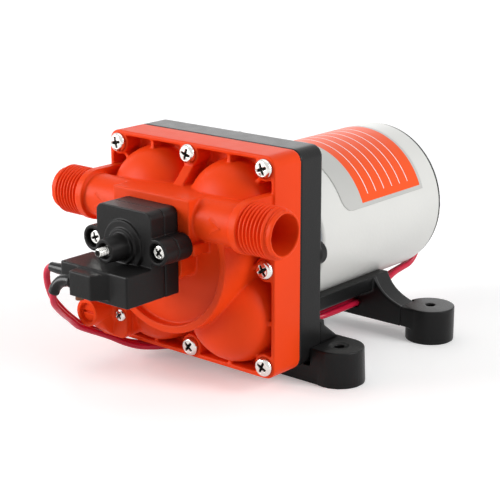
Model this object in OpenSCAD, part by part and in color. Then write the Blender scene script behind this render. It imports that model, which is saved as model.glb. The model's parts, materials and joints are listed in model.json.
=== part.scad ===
// Caravan water pump: four-chamber diaphragm pump with its motor, pressure switch and base.
// The origin is on the floor at the centre of the four foot holes. The motor axis runs along Y,
// the head faces -Y and +Z is up. Shapes are drawn in pump coordinates, where y = 0 is the
// head's front rim, and placed() carries them to the origin.

/* [Overall] */
// Width of the pump head and the drive housing
head_w = 91.3; // [88:0.1:112]
// Height of the pump head and the drive housing
head_h = 93.1; // [91:0.1:114]
// Gap between the floor and the underside of the head
ground_gap = 7.6; // [7:0.1:12]
// Distance of the outline's centre above the pump axis
head_rise = 1.15; // [0:0.05:1.5]
// Depth of the head behind its front rim
head_depth = 16.6; // [16.4:0.1:20]
// Depth of the drive housing
housing_depth = 13.9; // [13.5:0.1:17]
// Radius of the outline's corners
corner_r = 5; // [3:0.5:6]

/* [Pump head] */
// Wall of the front rim
rim_wall = 1.9; // [1.5:0.1:2.5]
// Depth of the pocket inside the rim
rim_depth = 8; // [6.5:0.1:8]
// Distance between the dome centres, along X
dome_pitch_x = 42.6; // [42:0.1:44]
// Distance between the dome centres, along Z
dome_pitch_z = 43; // [42:0.1:44]
// Outer radius of a dome
dome_r = 21.4; // [20:0.1:21.6]
// Reach of a dome's crown in front of the rim
dome_reach = 11.5; // [10:0.1:12]
// Outer radius of the round centre plate
disc_r = 35; // [33:0.1:36]
// Height of the centre plate above the axis
disc_rise = 5.5; // [4:0.1:7]
// Thickness of the wall round the valve plate pocket
pocket_wall = 1.5; // [1.3:0.1:2]
// Width of the square pocket for the valve plate
pocket_w = 74; // [73:0.1:75]

/* [Ports] */
// Height of the cross tube above the axis
port_rise = 21.7; // [20:0.1:24]
// Distance of the cross tube's axis in front of the rim
port_front = 12.1; // [11:0.1:13]
// Outer radius of the cross tube
tube_r = 9.2; // [9:0.1:9.4]
// Radius over the thread of a port
thread_r = 10.45; // [10.2:0.05:10.6]
// Thread pitch of a port
thread_pitch = 1.814; // [1.5:0.001:1.9]
// Number of thread crests on a port
thread_turns = 7; // [5:1:8]
// Radius of a port's bore
port_bore_r = 8.2; // [7:0.1:8.4]
// Depth of a port's bore
port_bore_depth = 20; // [15:0.5:22]
// Reach of a port's tip beyond the side of the head
port_reach = 15.15; // [15:0.05:20]

/* [Drive] */
// Tilt of the wobble plate's axis, in degrees
wobble_tilt = 2.5; // [1.5:0.1:2.6]
// Radius of the motor shaft
shaft_r = 4; // [3.5:0.1:4.2]
// Radius of a diaphragm cup
cup_r = 12; // [11:0.1:12.2]
// Gap between a diaphragm cup and the clamped sheet
web_gap = 1.4; // [1.2:0.1:1.6]

/* [Motor] */
// Outer radius of the motor can
can_r = 35.2; // [33:0.1:38]
// Length of the motor can
can_len = 89.6; // [74:0.1:110]
// Wall of the motor can
can_wall = 2; // [1.5:0.1:2.5]
// Length of the grey bell between the housing and the can
bell_len = 15.5; // [13:0.1:20]
// Lowest angle of the label above the horizontal, in degrees
label_low = 17.5; // [10:0.5:30]

/* [Base] */
// Distance of the foot holes outside the head's sides
foot_reach = 7.35; // [7:0.05:12]
// Distance of the front foot holes behind the drive housing
foot_back = 3.5; // [3:0.1:6]
// Distance between the front and rear foot holes
foot_pitch_y = 69.2; // [62:0.1:84]
// Radius of a foot hole
foot_hole_r = 2.1; // [1.8:0.05:2.6]
// Height of a front foot
foot_h = 15.5; // [14.5:0.1:15.6]
// Radius of a front foot
front_foot_r = 10.7; // [10:0.1:12]
// Radius of a rear foot
rear_foot_r = 11; // [10:0.1:12]
// Thickness of the metal tongue inside a foot
tongue_t = 2.8; // [2:0.1:3]

/* [Pressure switch] */
// Height of the switch axis above the pump axis
switch_rise = 12.2; // [11:0.1:13]
// Width of the switch body
switch_w = 30.4; // [29:0.1:32]
// Distance between the two switch screws
ear_pitch = 35.4; // [35:0.1:38]
// Travel of the switch plunger
plunger_travel = 1; // [0.5:0.1:1]

/* [Bypass valve] */
// Distance of the bypass valve left of the axis
bypass_x = 33.8; // [33:0.1:35]
// Distance of the bypass valve below the axis
bypass_drop = 25.8; // [25:0.1:27]
// Lift of the bypass poppet
poppet_lift = 1.2; // [0.5:0.1:1.2]

/* [Fasteners] */
// Shank radius of the housing screws
screw_r = 1.9; // [1.6:0.05:2]
// Head radius of the housing screws
screw_head_r = 4.1; // [3.8:0.1:4.3]
// Radius of the bosses under the screw heads
screw_boss_r = 5.2; // [4.8:0.1:5.4]
// Distance of the corner screws inside the outline
corner_inset = 5.25; // [5:0.05:6]
// Distance of the middle screws inside the outline
middle_inset = 4.8; // [4.5:0.05:5.2]

/* [Red leads] */
// Radius of a lead
lead_r = 1.4; // [1.2:0.05:1.5]

/* [Hidden] */
$fn = 64;

// Fits
press = 0.03;
slip = 0.05;
loose = 0.1;
thread_play = 0.05;
free_hole = 0.3;
eps = 0.1;

// Stations along the axis
housing_y = head_depth;
bell_y = head_depth + housing_depth;
can_y = bell_y + bell_len;
can_end_y = can_y + can_len;
cap_flange = 1.6;
cap_y = can_end_y + cap_flange;
front_foot_y = bell_y + foot_back;
rear_foot_y = front_foot_y + foot_pitch_y;
foot_mid_y = (front_foot_y + rear_foot_y) / 2;

// Heights and widths
head_z = ground_gap + head_h / 2;
axis_z = head_z - head_rise;
port_z = axis_z + port_rise;
disc_z = axis_z + disc_rise;
switch_z = axis_z + switch_rise;
bypass_z = axis_z - bypass_drop;
port_tip = head_w / 2 + port_reach;
foot_x = head_w / 2 + foot_reach;

// Screw places as [x, z]: four corners, then the middles of the sides, top and bottom
corner_x = head_w / 2 - corner_inset;
corner_z = head_h / 2 - corner_inset;
middle_x = head_w / 2 - middle_inset;
middle_z = head_h / 2 - middle_inset;
lower_screws = [[-corner_x, head_z - corner_z], [corner_x, head_z - corner_z],
    [0, head_z - middle_z]];
upper_screws = [[-corner_x, head_z + corner_z], [corner_x, head_z + corner_z],
    [-middle_x, head_z], [middle_x, head_z], [0, head_z + middle_z]];
screw_places = concat(lower_screws, upper_screws);
chambers = [for (sx = [-1, 1], sz = [-1, 1]) [sx * dome_pitch_x / 2, sz * dome_pitch_z / 2]];

// Dome section
dome_round = 17;
dome_base_y = dome_round - dome_reach;
cavity_r = 14;
cavity_round = 10;
outlet_r = 14.5;
outlet_y = 4;
disc_y = -14;
disc_lip_y = -17.6;
disc_lip = 3.3;

// Blocks on the front of the head
block_y = -23.1;
block_w = 42;
block_top = axis_z + 30.9;
slab_w = 33;
slab_top = axis_z + 9;
slab_low = axis_z - 3.2;
ledge_x = 23.5;
ledge_low = switch_z - 3.7;
bypass_face_y = -13.5;
flange_w = 23;
flange_low = bypass_z - 12.6;
flange_high = bypass_z + 10.8;
flange_mid_x = -bypass_x + 0.8;
relief_r = 4.7;

// Port section
collar_x = head_w / 2 - 5.05;
collar_w = 4.1;
collar_r = 10.9;
thread_start = collar_x + collar_w;
thread_core_r = thread_r - 1.05;
lip_r = 9.3;
lip_len = 2.2;
passage_r = 6;
riser_r = 4.5;

// Valve stack
pocket_y = rim_depth + pocket_wall;
sheet_t = 1.4;
sheet_y = housing_y - sheet_t;
valve_wall = 2.2;
chamber_y = pocket_y + valve_wall;
valve_t = 0.7;
valve_r = 8.5;
outlet_valve_r = 13.8;
outlet_holes_r = 11.5;

// Wobble drive
cavity_end_y = bell_y - 3.5;
wobble_y = housing_y + 5.6;
cup_y = housing_y - 0.6;
cup_t = 1.6;
piston_t = 1.4;
piston_r = 8.5;
plate_y = wobble_y - 1.7;
plate_t = 4;
plate_r = 26;
race_y = wobble_y - 3.5;
race_w = 7;
race_r = 13;
journal_r = 7.5;
ball_pitch_r = 10.4;
ball_r = 1.6;
hub_end_y = bell_y + 0.8;

// Motor inside
bell_r = can_r - 0.6;
can_in_r = can_r - can_wall;
spigot_r = can_in_r - loose;
mount_screw_x = 23;
bearing_bush_r = 6;
slots = 10;
slot_pitch_r = 20;
slot_bar_r = 1.6;
bearing_y = bell_y + 1;
bearing_w = 7;
bearing_r = 11;
stack_y = can_y + 20;
stack_end_y = can_end_y - 27.6;
stack_r = 25.6;
magnet_in_r = can_in_r - 6.9;
bolt_rise = can_in_r - 3.7;
commutator_y = can_end_y - 18.6;
commutator_r = 9.5;
brush_y = commutator_y + 5;
brush_plate_y = can_end_y - 10.1;
brush_w = 5;
brush_t = 6;
brush_end = 19;
holder_end = 28;
cap_wall_y = cap_y - 4.2;
bush_y = can_end_y - 5.6;
bush_w = 7;
cap_boss_end = cap_y + 3.8;
shaft_start = housing_y + 0.6;
shaft_end = bush_y + bush_w + 0.5;
label_front = can_y + 16.7;
label_back = can_end_y - 12.3;
label_t = 0.15;
label_gap = 0.06;

// Base
cradle_r = can_r + loose;
cradle_edge_z = axis_z - 26;
cradle_half = 29;
cradle_low = axis_z - can_r - 3.1;
arm_front_y = rear_foot_y - 10.8;
arm_back_y = rear_foot_y + 0.8;
arm_low = 6.3;
arm_end_x = foot_x - 9;
tongue_z = 10.8;
rear_tongue_z = 8;
tongue_ring_r = 6.5;
flange_t = 3;
flange_top = foot_h + 10;
inner_foot_x = 20;
sill_w = 2 * inner_foot_x - 1;
base_screw_x = 36;
base_screw_z = foot_h + 4.5;
lead_slot = [18, 12.4];

// Switch stations along the axis, from the head forward
seam_y = -31;
cover_y = -38.4;
box_y = -52.5;
nub_y = -58;
tube_end_y = -49.3;
box_top = switch_z - 7;
box_low = switch_z - 20.2;
box_left = -22;
box_step_z = box_top - 6.3;
ear_r = 5.4;
chamber_r = 10;
membrane_y = -25;
plunger_face_y = -26.4;
arm_y = -33;
micro = [[-10, -51, box_low + 1], [20, 10, 10.5]];
ear_screw_r = 1.5;
adjuster_end_y = -42.5;
nose_y = -39.2;
button_y = -39.4;
nub_screw = [-7.6, -56];
blade_y = -49.5;
blade_z = switch_z - 12;
low_blade_y = -55.6;
low_blade_z = switch_z - 13.2;

// Bypass stations along the axis
boss_end_y = -28.4;
boss_r = 6;
cap_front_y = -17;
seat_y = -4;
adjuster_y = -26.8;
adjuster_len = 7;
adjuster_r = 3.8;
poppet_bore_r = 4;
bypass_screw_r = 1.4;
bypass_screw_dx = 9.2;
bypass_screw_dz = 1.8;

// Routes of the two leads, from their sleeves to the grommet
lead_a = [[-28.5, -49.5, blade_z], [-31.3, -49.5, 53.1], [-33.7, -49.4, 50.8], [-34.6, -48.9, 47],
    [-35.6, -47.2, 42.6], [-37.4, -43.6, 37], [-39.2, -37, 29.9], [-41, -29.5, 23.3],
    [-42.2, -23, 18.6], [-42, -17.5, 15.2], [-41.4, -12.5, 12.7], [-40, -7.5, 9.9], [-37, -1.4, 6.2],
    [-31, 4.6, 5.1], [-22, 13.6, 5.3], [-9.8, 30.5, 5.9], [-2, 41, 8], [14, 64, 11.8],
    [16.5, 74, 12.4], [16.5, 92, 12.4], [16.5, 104, 12.4], [15.6, 112, 13.5], [14.7, 120, 15.8],
    [14.2, 127, 17.5], [14.2, 133, 18.3], [14.3, 137.4, 19], [14.4, 140.8, 20.9], [14.4, 143.8, 24.1],
    [14.4, 146, 28.6], [14.4, 146.9, 33.4], [14.4, 144.9, 37.1], [14.4, 142, 38], [14.4, 140, 38],
    [14.4, 132, 38]];
lead_b = [[-20.8, -57.6, 47.5], [-21.1, -57.9, 44.6], [-22.6, -56, 40.6], [-26.4, -50, 35.6],
    [-31.6, -42.6, 30.4], [-35.8, -36.2, 26.2], [-38.7, -29, 20.5], [-39.2, -22.5, 16.8],
    [-38.9, -16.8, 13.9], [-37.6, -11.2, 10.9], [-35, -5.2, 7.2], [-31.2, -0.6, 5.2],
    [-25.8, 3.8, 4.9], [-18.8, 11.6, 5.2], [-7.4, 28.7, 5.6], [0.4, 39.2, 8], [16.8, 62.2, 11.8],
    [19.5, 73, 12.4], [19.5, 92, 12.4], [19.5, 104, 12.4], [18.7, 112, 14.4], [17.8, 120, 17.2],
    [17.3, 127, 18.9], [17.4, 133, 19.8], [17.7, 137.4, 20.7], [17.9, 140.6, 22.6], [18, 143.4, 25.8],
    [17.9, 145.4, 29.8], [17.7, 146.2, 34], [17.6, 144.4, 37.3], [17.6, 142, 38], [17.6, 140, 38],
    [17.6, 132, 38]];
sleeve_a = [[-22, -49.5, blade_z], [-25, -49.5, blade_z], [-28, -49.5, blade_z], [-31, -49.5, blade_z]];
sleeve_b = [[-12.1, -55.6, 52], [-14.6, -55.6, 52], [-18, -56.1, 51], [-20.2, -57, 48.6],
    [-21, -57.8, 45.6]];
sleeve_a_r = 2.3;
sleeve_b_r = 2.5;
sleeve_bore_r = 1.75;
grommet_at = [16, 38];
grommet_r = 4.4;

// Moves a shape from pump coordinates to the model's origin
module placed() {
    translate([0, -foot_mid_y, 0]) children();
}

// Extrudes a front view, drawn in X and Z, from y0 to y1
module slab_y(y0, y1) {
    translate([0, y1, 0]) rotate([90, 0, 0]) linear_extrude(y1 - y0) children();
}

// Extrudes a side view, drawn in Y and Z, from x0 to x1
module slab_x(x0, x1) {
    translate([x0, 0, 0]) rotate([90, 0, 90]) linear_extrude(x1 - x0) children();
}

// Round bar along Y
module rod_y(r, y0, y1, x = 0, z = axis_z) {
    translate([x, y0, z]) rotate([-90, 0, 0]) cylinder(r = r, h = y1 - y0);
}

// Round bar along X
module rod_x(r, x0, x1, y, z) {
    translate([x0, y, z]) rotate([0, 90, 0]) cylinder(r = r, h = x1 - x0);
}

// Ring along Y
module ring_y(r_out, r_in, y0, y1, x = 0, z = axis_z) {
    difference() {
        rod_y(r_out, y0, y1, x, z);
        rod_y(r_in, y0 - eps, y1 + eps, x, z);
    }
}

// Turns a section about an axis along Y: the section's x is the radius and its y runs along +Y
module turned_y(x = 0, z = axis_z) {
    translate([x, 0, z]) rotate([-90, 0, 0]) rotate_extrude() children();
}

// Box given by its lower corner and its size
module box(corner, size) {
    translate(corner) cube(size);
}

// Rectangle with round corners, centred
module rounded(w, h, r) {
    square([w - 2 * r, h], center = true);
    square([w, h - 2 * r], center = true);
    for (sx = [-1, 1], sz = [-1, 1])
        translate([sx * (w / 2 - r), sz * (h / 2 - r)]) circle(r);
}

// Shape and its mirror image across x = 0
module both_sides() {
    children();
    mirror([1, 0, 0]) children();
}

// Outline of the head and the housing, inset by a wall
module outline(inset = 0) {
    translate([0, head_z]) rounded(head_w - 2 * inset, head_h - 2 * inset, corner_r - inset);
}

// Wobbling pieces are drawn straight and tilted about the wobble centre
module wobbling() {
    translate([0, wobble_y, axis_z]) rotate([wobble_tilt, 0, 0])
        translate([0, -wobble_y, -axis_z]) children();
}

// Phillips pan-head screw whose head faces -Y and sits on the plane y
module pan_screw(x, y, z, head_r, head_t, shank_r, length, turn = 0) {
    edge = head_t * 0.3;
    crown = head_t - edge;
    ball = (head_r * head_r + crown * crown) / (2 * crown);
    slot = head_r * 0.24;
    translate([x, y, z]) rotate([90, 0, 0]) difference() {
        union() {
            intersection() {
                cylinder(r = head_r, h = head_t + eps);
                translate([0, 0, head_t - ball]) sphere(ball);
            }
            translate([0, 0, -length]) cylinder(r = shank_r, h = length + edge);
        }
        rotate(turn) for (side = [0, 90]) rotate(side)
            translate([-head_r * 0.55, -slot / 2, head_t * 0.45]) cube([head_r * 1.1, slot, head_t]);
    }
}

// Points of a smooth curve through p, with n steps in each stretch
function curve_point(p, i, t) =
    let (a = p[max(i - 1, 0)], b = p[i], c = p[i + 1], d = p[min(i + 2, len(p) - 1)])
    (2 * b + (c - a) * t + (2 * a - 5 * b + 4 * c - d) * t * t
        + (3 * b - a - 3 * c + d) * t * t * t) / 2;
function curve(p, n) = concat(
    [for (i = [0 : len(p) - 2], s = [0 : n - 1]) curve_point(p, i, s / n)], [p[len(p) - 1]]);

// Points of a coil about +Z, from height z0 to z1
function coil(r, z0, z1, turns, steps) = [for (i = [0 : turns * steps])
    [r * cos(360 * i / steps), r * sin(360 * i / steps), z0 + (z1 - z0) * i / (turns * steps)]];

// Directions along a route, and side vectors carried along it without twist
function unit(v) = v / norm(v);
function heading(p, i) = unit(p[min(i + 1, len(p) - 1)] - p[max(i - 1, 0)]);
function carried(p, i, side) = i == len(p) ? [] :
    let (t = heading(p, i), v = unit(side - (side * t) * t)) concat([v], carried(p, i + 1, v));

// Round tube of the given number of sides along a route
module tube_along(p, r, sides, first_side = [0, 0, 1]) {
    across = carried(p, 0, first_side);
    count = len(p);
    last = (count - 1) * sides;
    points = [for (i = [0 : count - 1], k = [0 : sides - 1])
        let (a = 360 * k / sides, w = cross(heading(p, i), across[i]))
        p[i] + r * (cos(a) * across[i] + sin(a) * w)];
    walls = [for (i = [0 : count - 2], k = [0 : sides - 1], half = [0, 1])
        let (a = i * sides + k, b = i * sides + (k + 1) % sides)
        half == 0 ? [a, a + sides, b] : [b, a + sides, b + sides]];
    near_end = [for (k = [1 : sides - 2]) [0, k, k + 1]];
    far_end = [for (k = [1 : sides - 2]) [last, last + k + 1, last + k]];
    polyhedron(points, concat(walls, near_end, far_end));
}

// Dome on the head, with a rounded shoulder
module dome(x, z) {
    turned_y(x, z) {
        translate([0, dome_base_y - eps]) square([dome_r, rim_depth - dome_base_y + 2 * eps]);
        translate([0, -dome_reach]) square([dome_r - dome_round, dome_round]);
        intersection() {
            translate([dome_r - dome_round, dome_base_y]) circle(dome_round);
            translate([0, -dome_reach]) square([dome_r, dome_round]);
        }
    }
}

// Room behind a dome
module dome_cavity(x, z) {
    turned_y(x, z) {
        translate([0, dome_base_y]) square([cavity_r, pocket_y - dome_base_y + eps]);
        translate([0, dome_base_y - cavity_round]) square([cavity_r - cavity_round, cavity_round + eps]);
        intersection() {
            translate([cavity_r - cavity_round, dome_base_y]) circle(cavity_round);
            translate([0, dome_base_y - cavity_round]) square([cavity_r, cavity_round]);
        }
    }
}

// Block with the rim pocket, screw bosses and small ribs
module head_shell() {
    difference() {
        slab_y(0, head_depth) outline();
        slab_y(-eps, rim_depth) outline(rim_wall);
    }
    slab_y(0, rim_depth + eps) intersection() {
        outline();
        for (p = screw_places) translate(p) circle(screw_boss_r);
    }
    rib_t = 1.8;
    slab_y(0.6, rim_depth + eps) intersection() {
        outline(rim_wall / 2);
        for (c = chambers) translate([c[0], axis_z + c[1]]) {
            translate([-rib_t / 2, c[1] > 0 ? 0 : -head_h]) square([rib_t, head_h]);
            translate([c[0] > 0 ? 0 : -head_w, -rib_t / 2]) square([head_w, rib_t]);
            rotate(atan2(c[1], c[0])) translate([0, -rib_t / 2]) square([dome_r + 2, rib_t]);
        }
    }
    slab_x(-2.6, 2.6) polygon([[rim_depth + eps, head_z + middle_z - 4], [0.8, head_z + middle_z - 4],
        [-port_front, port_z + 4], [rim_depth + eps, port_z + 4]]);
}

// Round centre plate with its raised lip, cut off above the cross tube
module centre_plate() {
    difference() {
        rod_y(disc_r, disc_lip_y, rim_depth + eps, 0, disc_z);
        rod_y(disc_r - disc_lip, disc_lip_y - eps, disc_y, 0, disc_z);
        box([-head_w / 2, disc_lip_y - 1, port_z], [head_w, rim_depth - disc_lip_y + 2, head_h / 2]);
    }
    rib_t = 1.8;
    translate([0, 0, head_z - rib_t / 2]) linear_extrude(rib_t)
        polygon([[disc_r - 4, rim_depth], [disc_r - 4, -9], [middle_x - screw_boss_r, 0], [middle_x, 0],
            [middle_x, rim_depth]]);
}

// Section of one port, drawn from the collar outward
module port_section() {
    polygon(concat(
        [[0, collar_x], [collar_r, collar_x], [collar_r, thread_start], [thread_core_r, thread_start]],
        [for (i = [0 : thread_turns - 1], k = [0 : 3])
            [k % 3 == 0 ? thread_core_r : thread_r,
                thread_start + 0.5 + i * thread_pitch + [0, 0.55, 0.95, 1.5][k]]],
        [[thread_core_r, port_tip - lip_len], [lip_r, port_tip - lip_len], [lip_r, port_tip],
            [0, port_tip]]));
}

module port_outside() {
    translate([0, -port_front, port_z]) rotate([0, 90, 0]) rotate_extrude() port_section();
    box([collar_x, -port_front, port_z - collar_r], [collar_w, port_front + rim_depth, 2 * collar_r]);
}

// Flow arrow raised on the front of the cross tube, pointing to +X
module flow_arrow(x) {
    intersection() {
        slab_y(-port_front - tube_r - 1, -port_front) translate([x, port_z])
            for (turn = [150, -150]) rotate(turn) translate([-0.3, -0.35]) square([6.4, 0.7]);
        rod_x(tube_r + 0.3, x - 8, x + 2, -port_front, port_z);
    }
}

// Blocks that carry the switch, and the ledge that joins them to the centre plate
module switch_seat() {
    slab_y(block_y, rim_depth) translate([-block_w / 2, slab_top - eps])
        square([block_w, block_top - slab_top + eps]);
    slab_y(block_y, rim_depth) translate([0, (slab_top + slab_low) / 2])
        rounded(slab_w, slab_top - slab_low, 4.5);
    slab_y(block_y, 0) translate([-ledge_x, ledge_low]) square([2 * ledge_x, slab_top + 4 - ledge_low]);
}

// Outline of the bypass flange, cleared round the corner screw
module bypass_outline() {
    difference() {
        translate([flange_mid_x, (flange_low + flange_high) / 2])
            rounded(flange_w, flange_high - flange_low, 4);
        translate(lower_screws[0]) circle(relief_r);
    }
}

// Water ways from the inlet to the four domes, and from the centre to the outlet
module head_passages() {
    for (c = chambers) dome_cavity(c[0], axis_z + c[1]);
    link_y = 2;
    link_r = 3;
    for (side = [-1, 1]) {
        rod_x(link_r, -dome_pitch_x / 2, dome_pitch_x / 2, link_y, axis_z + side * dome_pitch_z / 2);
        translate([side * dome_pitch_x / 2, link_y, axis_z - dome_pitch_z / 2])
            cylinder(r = link_r, h = dome_pitch_z);
        rod_x(port_bore_r, side > 0 ? port_tip - port_bore_depth : -port_tip - eps,
            side > 0 ? port_tip + eps : -port_tip + port_bore_depth, -port_front, port_z);
    }
    rod_x(passage_r, -port_tip + 1, -dome_pitch_x / 2, -port_front, port_z);
    rod_y(passage_r, -port_front, dome_base_y, -dome_pitch_x / 2, port_z);
    rod_y(outlet_r, outlet_y, pocket_y + eps);
    rod_y(passage_r, -port_front, outlet_y + eps);
    translate([0, -port_front, axis_z]) cylinder(r = riser_r, h = port_rise);
    rod_x(passage_r, 0, port_tip - 1, -port_front, port_z);
    rod_y(1.5, block_y - eps, -port_front, 0, switch_z);
}

module pump_head() {
    color("orangered") placed() difference() {
        union() {
            head_shell();
            for (c = chambers) dome(c[0], axis_z + c[1]);
            centre_plate();
            rod_x(tube_r, -collar_x - eps, collar_x + eps, -port_front, port_z);
            both_sides() port_outside();
            for (x = [35.2, -29]) flow_arrow(x);
            switch_seat();
            slab_y(bypass_face_y, rim_depth) bypass_outline();
        }
        head_passages();
        slab_y(pocket_y, head_depth + eps) translate([0, axis_z]) rounded(pocket_w, pocket_w, 14);
        for (p = screw_places) rod_y(screw_r + free_hole, -eps, head_depth + eps, p[0], p[1]);
        for (side = [-1, 1]) {
            rod_y(ear_screw_r + thread_play, block_y - eps, -10, side * ear_pitch / 2, switch_z);
            rod_y(bypass_screw_r + thread_play, bypass_face_y - eps, -6,
                -bypass_x + side * bypass_screw_dx, bypass_z - side * bypass_screw_dz);
        }
        rod_y(poppet_bore_r, bypass_face_y - eps, seat_y, -bypass_x, bypass_z);
        rod_y(1.6, seat_y - eps, dome_base_y + 1, -bypass_x, bypass_z);
    }
}

// Valve plate between the head and the diaphragm
module valve_plate() {
    color("ivory") placed() difference() {
        slab_y(pocket_y, sheet_y) translate([0, axis_z])
            rounded(pocket_w - 2 * loose, pocket_w - 2 * loose, 13.9);
        rod_y(outlet_valve_r + 0.4, pocket_y - eps, pocket_y + 1);
        rod_y(1.6, pocket_y, sheet_y + eps);
        rod_y(3, chamber_y, sheet_y + eps);
        for (c = chambers) {
            turn = atan2(c[1], c[0]);
            rod_y(cup_r + 1, chamber_y, sheet_y + eps, c[0], axis_z + c[1]);
            rod_y(1.5, pocket_y - eps, chamber_y + eps, c[0], axis_z + c[1]);
            for (k = [0 : 5]) rod_y(1.4, pocket_y - eps, chamber_y + eps,
                c[0] + 5.4 * cos(60 * k), axis_z + c[1] + 5.4 * sin(60 * k));
            slab_y(chamber_y, sheet_y + eps) translate([0, axis_z]) rotate(turn)
                translate([outlet_holes_r - 2.4, -2.4]) square([10, 4.8]);
            rod_y(2, pocket_y, chamber_y + eps, outlet_holes_r * cos(turn),
                axis_z + outlet_holes_r * sin(turn));
        }
        slab_y(pocket_y - eps, pocket_y + 0.8) seal_outline(0.9);
    }
}

// Path of the seal round the valve plate's front
module seal_outline(half) {
    translate([0, axis_z]) difference() {
        rounded(pocket_w - 3.4 + 2 * half, pocket_w - 3.4 + 2 * half, 13 + half);
        rounded(pocket_w - 3.4 - 2 * half, pocket_w - 3.4 - 2 * half, 13 - half);
    }
}

module head_seal() {
    color("black") placed() slab_y(pocket_y, pocket_y + 0.8) seal_outline(0.8);
}

module inlet_valves() {
    color("dimgray") placed() for (c = chambers) {
        rod_y(valve_r, chamber_y, chamber_y + valve_t, c[0], axis_z + c[1]);
        rod_y(1.45, pocket_y - 0.2, chamber_y + eps, c[0], axis_z + c[1]);
        rod_y(2.1, pocket_y - 1.2, pocket_y, c[0], axis_z + c[1]);
    }
}

module outlet_valve() {
    color("dimgray") placed() {
        rod_y(outlet_valve_r, pocket_y + 0.3, pocket_y + 1);
        rod_y(1.55, pocket_y + 0.9, chamber_y + eps);
        rod_y(2.2, chamber_y, chamber_y + 1.2);
    }
}

// Clamped sheet of the diaphragm, open round the moving cups
module diaphragm() {
    color("black") placed() difference() {
        slab_y(sheet_y, housing_y) translate([0, axis_z])
            rounded(pocket_w - 4 * loose, pocket_w - 4 * loose, 13.8);
        for (c = chambers) rod_y(cup_r + web_gap, sheet_y - eps, housing_y + eps, c[0], axis_z + c[1]);
    }
}

module diaphragm_cups() {
    color("black") placed() wobbling() for (c = chambers) difference() {
        rod_y(cup_r, cup_y, cup_y + cup_t, c[0], axis_z + c[1]);
        rod_y(3.2 + slip, cup_y - eps, cup_y + cup_t + eps, c[0], axis_z + c[1]);
    }
}

module pistons() {
    color("white") placed() wobbling() for (c = chambers) difference() {
        union() {
            rod_y(piston_r, cup_y - piston_t, cup_y, c[0], axis_z + c[1]);
            rod_y(3.2, cup_y - eps, cup_y + cup_t, c[0], axis_z + c[1]);
        }
        rod_y(1.45, cup_y - 0.8, cup_y + cup_t + eps, c[0], axis_z + c[1]);
    }
}

module piston_screws() {
    head_y = plate_y + plate_t - 1.5;
    color("silver") placed() wobbling() for (c = chambers) difference() {
        union() {
            rod_y(1.4, cup_y - 0.7, head_y + eps, c[0], axis_z + c[1]);
            rod_y(2.8, head_y, head_y + 1.4, c[0], axis_z + c[1]);
        }
        for (size = [[2.8, 0.7], [0.7, 2.8]])
            box([c[0] - size[0] / 2, head_y + 0.7, axis_z + c[1] - size[1] / 2], [size[0], 1, size[1]]);
    }
}

// Wobble plate with four pads that carry the pistons
module wobble_plate() {
    color("gainsboro") placed() wobbling() difference() {
        union() {
            rod_y(plate_r, plate_y, plate_y + plate_t);
            rod_y(race_r + 3, race_y - 0.7, race_y + race_w);
            for (c = chambers) rod_y(piston_r, cup_y + cup_t, plate_y + plate_t, c[0], axis_z + c[1]);
        }
        rod_y(race_r + press, race_y, race_y + race_w + eps);
        rod_y(race_r - 1.5, race_y - 1, race_y + 1);
        for (c = chambers) {
            rod_y(1.5, cup_y, plate_y + plate_t, c[0], axis_z + c[1]);
            rod_y(2.9, plate_y + plate_t - 1.5, plate_y + plate_t + eps, c[0], axis_z + c[1]);
        }
    }
}

// Race of a ball bearing with its groove
module race(r_out, r_in, y0, w, pitch_r, groove_r) {
    difference() {
        ring_y(r_out, r_in, y0, y0 + w);
        turned_y() translate([pitch_r, y0 + w / 2]) circle(groove_r);
    }
}

module ball_set(count, r, pitch_r, y) {
    for (k = [0 : count - 1]) translate([pitch_r * cos(360 * k / count), y,
        axis_z + pitch_r * sin(360 * k / count)]) sphere(r);
}

module wobble_bearing_outer() {
    color("silver") placed() wobbling()
        race(race_r, ball_pitch_r + 1, race_y, race_w, ball_pitch_r, ball_r + slip);
}

module wobble_bearing_inner() {
    color("silver") placed() wobbling()
        race(ball_pitch_r - 1, journal_r + press, race_y, race_w, ball_pitch_r, ball_r + slip);
}

module wobble_bearing_balls() {
    color("whitesmoke") placed() wobbling() ball_set(11, ball_r, ball_pitch_r, race_y + race_w / 2);
}

// Cam with a journal inclined to the shaft
module wobble_cam() {
    color("slategray") placed() difference() {
        union() {
            wobbling() difference() {
                union() {
                    rod_y(journal_r, race_y - 1.3, race_y + race_w + eps);
                    rod_y(journal_r + 1.3, race_y + race_w, race_y + race_w + 0.8);
                }
                ring_y(journal_r + 1, journal_r - 0.7, race_y - 0.9, race_y - 0.05);
            }
            rod_y(8, race_y + race_w + 0.4, hub_end_y);
        }
        rod_y(shaft_r + press, housing_y, hub_end_y + eps);
        rod_x(1.5 + thread_play, 0, 9, hub_end_y - 2.5, axis_z);
    }
}

module cam_circlip() {
    color("dimgray") placed() wobbling() difference() {
        ring_y(journal_r + 1.4, journal_r - 0.65, race_y - 0.85, race_y - 0.1);
        box([-2, race_y - 1, axis_z - journal_r - 2], [4, 2, 4]);
    }
}

module cam_grub_screw() {
    color("dimgray") placed() difference() {
        rod_x(1.5, shaft_r + press, 7.7, hub_end_y - 2.5, axis_z);
        translate([6.4, hub_end_y - 2.5, axis_z]) rotate([0, 90, 0]) cylinder(r = 0.8, h = 2, $fn = 6);
    }
}

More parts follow.
